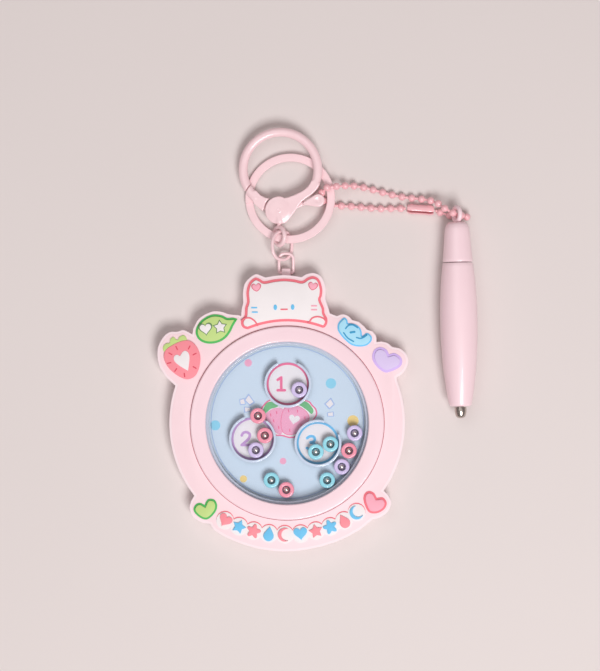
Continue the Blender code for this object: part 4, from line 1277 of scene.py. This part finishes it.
def hoop(start, end, steps):
    """A stretch of the clasp's hoop, with its oval section."""
    section = [(HOOP_RADIUS + HOOP_WIRE * x, CLASP_HALF * y) for x, y in CIRCLE]
    made = turned(section, steps, end - start)
    place = Matrix.Translation((*HOOP_CENTRE, 0)) @ spin_by(start, "Z")
    return placed(made, flat_clasp @ place)


def flat(outline, low, high, edge=0.0):
    """A plate in the clasp's plane."""
    return placed(plate(outline, low, high, edge), flat_clasp)


def reach(radius):
    """A disc about the rivet, which parts the gate from the hoop."""
    return flat(arc(RIVET, radius, 0, 357, 119), -2.0, 2.0)


# %% [markdown]
# The clasp's body is a hoop with an arm that widens into a round, slightly domed boss, and a hollow neck for the
# swivel's stem. A slot through the boss takes the gate.

# %% Clasp body
clasp = piece("clasp", hoop(-26, 214, 110), pink_enamel, "clasp", "clasp_body", slot="pink_plated")
cut(clasp, reach(GATE_REACH))
arm = joined(
    arc(RIVET, 4.7, 75, 235, 40), [(-4.7, 67.0), (-0.6, 67.0), (0.7, 68.2)],
    curve([(2.7, 70.9), (5.0, 74.1), (8.2, 76.5), (10.2, 78.5), (11.2, 80.3)]),
    curve([(8.3, 81.4), (7.3, 79.6), (5.4, 77.9), (3.0, 76.7), (1.0, 75.9), (-1.0, 75.4)]),
)
cut(clasp, flat(arm, -CLASP_HALF, CLASP_HALF), "UNION")
upright = flat_clasp @ Matrix.Translation((EYE_CENTRE[0], EYE_CENTRE[1], 0)) @ spin_by(-90, "X")
neck = turned([(0, 4.1), (1.6, 4.1), (1.8, 4.6), (1.8, 6.6), (1.2, 7.4), (0, 7.4)], 48)
cut(clasp, placed(neck, upright), "UNION")
at_rivet = flat_clasp @ Matrix.Translation((*RIVET, 0))
dome = [(4.6, 1.05), (4.1, 1.3), (3.2, 1.5), (2.0, 1.64), (0, 1.7)]
cut(clasp, placed(turned([(r, -z) for r, z in reversed(dome)] + dome, 64), at_rivet), "UNION")
cut(clasp, placed(turned([(0, 3.7), (1.05, 3.7), (1.05, 5.3), (1.4, 5.4), (1.4, 6.8), (0, 6.8)], 32), upright))
SLOT_HALF = 0.85
cut(clasp, flat([
    (-9.0, 69.6), (-4.0, 69.0), (0.2, 68.9), (8.0, 66.0), (8.0, 76.0), (2.0, 74.2), (-2.6, 74.8), (-4.0, 77.5),
    (-9.0, 77.5),
], -SLOT_HALF, SLOT_HALF))
print("Clasp faces:", cast(clasp))

# %% [markdown]
# The gate is one casting too: a leaf in the slot, turning on the rivet, with the thumb piece on one side and the
# curved bar that closes the hoop on the other.

# %% Gate lever
bar = piece("gate_and_thumb", hoop(203, 230, 20), pink_enamel, "gate", "gate_lever", slot="pink_plated")
cut(bar, reach(GATE_REACH - 0.25), "INTERSECT")
leaf = joined(
    arc(RIVET, 1.85, 200, 320, 16), [(2.6, 71.6), (6.0, 73.0), (8.2, 73.3), (8.2, 74.6), (6.4, 74.7), (2.4, 73.5)],
    arc(RIVET, 2.9, 50, 110, 10), [(-6.6, 74.0), (-9.4, 76.6), (-10.4, 73.7), (-8.0, 71.6)],
)
cut(bar, flat(leaf, -0.65, -0.1), "UNION")
cut(bar, flat([(6.4, 73.2), (8.0, 73.3), (8.0, 74.5), (6.4, 74.4)], -0.5, 0.6), "UNION")
cut(bar, flat([(5.4, 73.1)] + arc((10.5, 74.6), 2.15, -100, 120, 30) + [(5.4, 74.0)], 0.2, 1.4), "UNION")
dimple = bmesh.new()
bmesh.ops.create_uvsphere(dimple, u_segments=48, v_segments=48, radius=2.4)
cut(bar, placed(dimple, flat_clasp @ Matrix.Translation((10.5, 74.6, 3.5))))
cut(bar, flat([
    (-12.0, 77.4), (-12.1, 75.4), (-11.0, 73.4), (-9.3, 71.9), (-8.0, 70.9), (-7.65, 72.2), (-7.3, 73.4),
    (-6.7, 74.5), (-5.9, 75.3), (-7.4, 75.6), (-9.0, 76.5), (-10.5, 78.1),
], 0.15 - CLASP_HALF, CLASP_HALF - 0.15), "UNION")
print("Gate faces:", cast(bar))

# %% [markdown]
# The rivet has low domed heads, with the small dimple that the punch leaves. The torsion coil that closes the gate
# is thin spring wire round the rivet.

# %% Rivet and spring
rivet = turned(joined(
    [(0, -1.75), (0.8, -1.72), (1.1, -1.6), (1.1, -1.5), (0.6, -1.5), (0.6, 1.5), (0.9, 1.5), (0.9, 1.66)],
    [(0.75, 1.72), (0.5, 1.76), (0.36, 1.72), (0.2, 1.6), (0, 1.56)],
), 48)
piece("domed_rivet", placed(rivet, at_rivet), pink_enamel, "clasp", "gate_rivet", slot="pink_plated")
coil = [at_rivet @ Vector((*arc((0, 0), 1.5, 540 * i / 90, 0, 1)[0], 0.1 + 0.5 * i / 90)) for i in range(91)]
wire("closing_spring", coil, 0.09, nose_steel, "clasp", "gate_spring", "bare_steel", False)
print("Spring turns: 1.5")

# %% [markdown]
# **Swivel eye.** A ring stands on a stem whose head turns inside the neck. Both are spun profiles.

# %% Swivel eye
EYE_RADIUS, EYE_WIRE, STEM_RADIUS = 3.05, 0.75, 0.75
eye = turned([(EYE_RADIUS + EYE_WIRE * x, EYE_WIRE * y) for x, y in CIRCLE], 72)
at_eye = Matrix.Translation(EYE_CENTRE) @ clasp_tilt
placed(eye, at_eye @ spin_by(-53, "Y"))
stem = turned([
    (0, EYE_RADIUS), (STEM_RADIUS, EYE_RADIUS), (STEM_RADIUS, EYE_RADIUS + 2.65), (1.25, EYE_RADIUS + 2.65),
    (1.25, EYE_RADIUS + 3.4), (0, EYE_RADIUS + 3.4),
], 32)
merge(eye, placed(stem, at_eye @ spin_by(-90, "X")))
piece("swivel_ring", eye, pink_enamel, "eye", "swivel_eye", slot="pink_plated")
print("Eye:", 2 * (EYE_RADIUS + EYE_WIRE), "mm across")

# %% [markdown]
# **Split ring.** One flat strip is wound nearly twice round. Most of each turn lies flat, and a short stretch
# climbs from the lower turn to the upper one, so the strip's end shows as a step. It is one section spun three
# times: flat, climbing, flat.

# %% Split ring
RING_RADIUS, RING_WIDTH, RING_THICK, RING_PITCH = 13.8, 2.6, 0.5, 0.6
RING_FLAT, RING_CLIMB = 334.0, 24.0
RING_STEPS = 12
corner = 0.14
section = joined(*[
    arc((RING_RADIUS + x * (RING_WIDTH / 2 - corner), z * (RING_THICK / 2 - corner) - RING_PITCH / 2), corner,
        start, start + 90, 3)
    for x, z, start in ((1, -1, 270), (1, 1, 0), (-1, 1, 90), (-1, -1, 180))
])
bm = bmesh.new()
verts = [bm.verts.new((r, 0, z)) for r, z in section]
last = verts + [bm.edges.new(pair) for pair in zip(verts, verts[1:] + verts[:1])]
for angle, rise, steps in (
    (RING_FLAT, 0.0, 110), (RING_CLIMB, RING_PITCH, RING_STEPS), (RING_FLAT, 0.0, 110),
):
    last = bmesh.ops.spin(
        bm, geom=last, cent=(0, 0, 0), axis=(0, 0, 1), dvec=(0, 0, rise / steps), angle=math.radians(angle),
        steps=steps, use_merge=False,
    )["geom_last"]
bmesh.ops.holes_fill(bm, edges=[e for e in bm.edges if e.is_boundary], sides=0)
at_ring = Matrix.Translation((1.0, 75.3, 2.42)) @ tilt(0.079, -0.054) @ spin_by(214, "Z")
piece("flat_split_ring", placed(bm, at_ring), pink_enamel, "split_ring", "key_ring", slot="pink_plated")
print("Split ring:", 2 * RING_RADIUS + RING_WIDTH, "mm across")

# %% [markdown]
# **Pen.** The pen lies along its own -Z: a cap with a moulded eyelet, a barrel like a long drop, a rod magnet in
# its nose and a turned steel tip. Cap and barrel meet at a fine line a fifth of the way down.

# %% Pen
PEN_TOP, PEN_NOSE = Vector((56.8, 67.3, 6.25)), Vector((58.05, 1.6, 6.25))
up = (PEN_TOP - PEN_NOSE).normalized()
side = Vector((0, 0, 1)).cross(up).normalized()
at_pen = Matrix.Translation(PEN_TOP) @ Matrix((side, up.cross(side), up)).transposed().to_4x4()
PEN_STEPS = 96
cap = turned(joined(
    [(0, 0)],
    curve([(1.2, 0.0), (2.4, -0.1), (3.35, -0.65), (3.9, -1.7), (4.2, -3.2), (4.6, -8.0), (5.05, -13.2)], 5),
    [(4.95, -13.4), (3.3, -13.4), (3.3, -17.0), (0, -17.0)],
), PEN_STEPS)
eyelet = turned([(2.3 + 0.75 * x, 0.75 * y) for x, y in CIRCLE], 64)
turn = spin_by(115, "Z") @ spin_by(90, "X")
merge(cap, placed(eyelet, Matrix.Translation((0, 0, 2.6)) @ turn))
piece("pen_cap_and_eyelet", placed(cap, at_pen), pen_plastic, "pen", "pen_cap", slot="pen_plastic")
barrel = turned(joined(
    [(3.65, -13.7), (4.95, -13.7)],
    curve([
        (5.1, -13.9), (5.75, -20.0), (6.15, -27.0), (6.25, -33.0), (6.1, -40.0), (5.6, -48.0), (4.8, -55.0),
        (4.0, -60.0), (3.65, -61.3), (3.1, -61.65),
    ], 5),
    [(1.6, -61.65), (1.6, -60.0), (2.6, -53.0), (3.65, -47.0)],
), PEN_STEPS)
piece("pen_body", placed(barrel, at_pen), pen_plastic, "pen", "pen_barrel", slot="pen_plastic")
magnet = turned([(0, -54.2), (1.8, -54.2), (1.9, -54.3), (1.9, -57.1), (1.8, -57.2), (0, -57.2)], 48)
piece("rod_magnet", placed(magnet, at_pen), nose_steel, "pen", "pen_magnet", slot="bare_steel")
tip = turned(joined(
    [(0, -58.0), (1.25, -58.0), (1.25, -61.9)],
    curve([(2.0, -61.95), (2.0, -62.6), (1.95, -63.6), (1.6, -64.9), (1.0, -65.5), (0.35, -65.7)], 5), [(0, -65.72)],
), 64)
piece("steel_nose", placed(tip, at_pen), nose_steel, "pen", "pen_tip", slot="bare_steel")
print("Pen:", round((PEN_TOP - PEN_NOSE).length + 5.6, 1), "mm long with its eyelet")
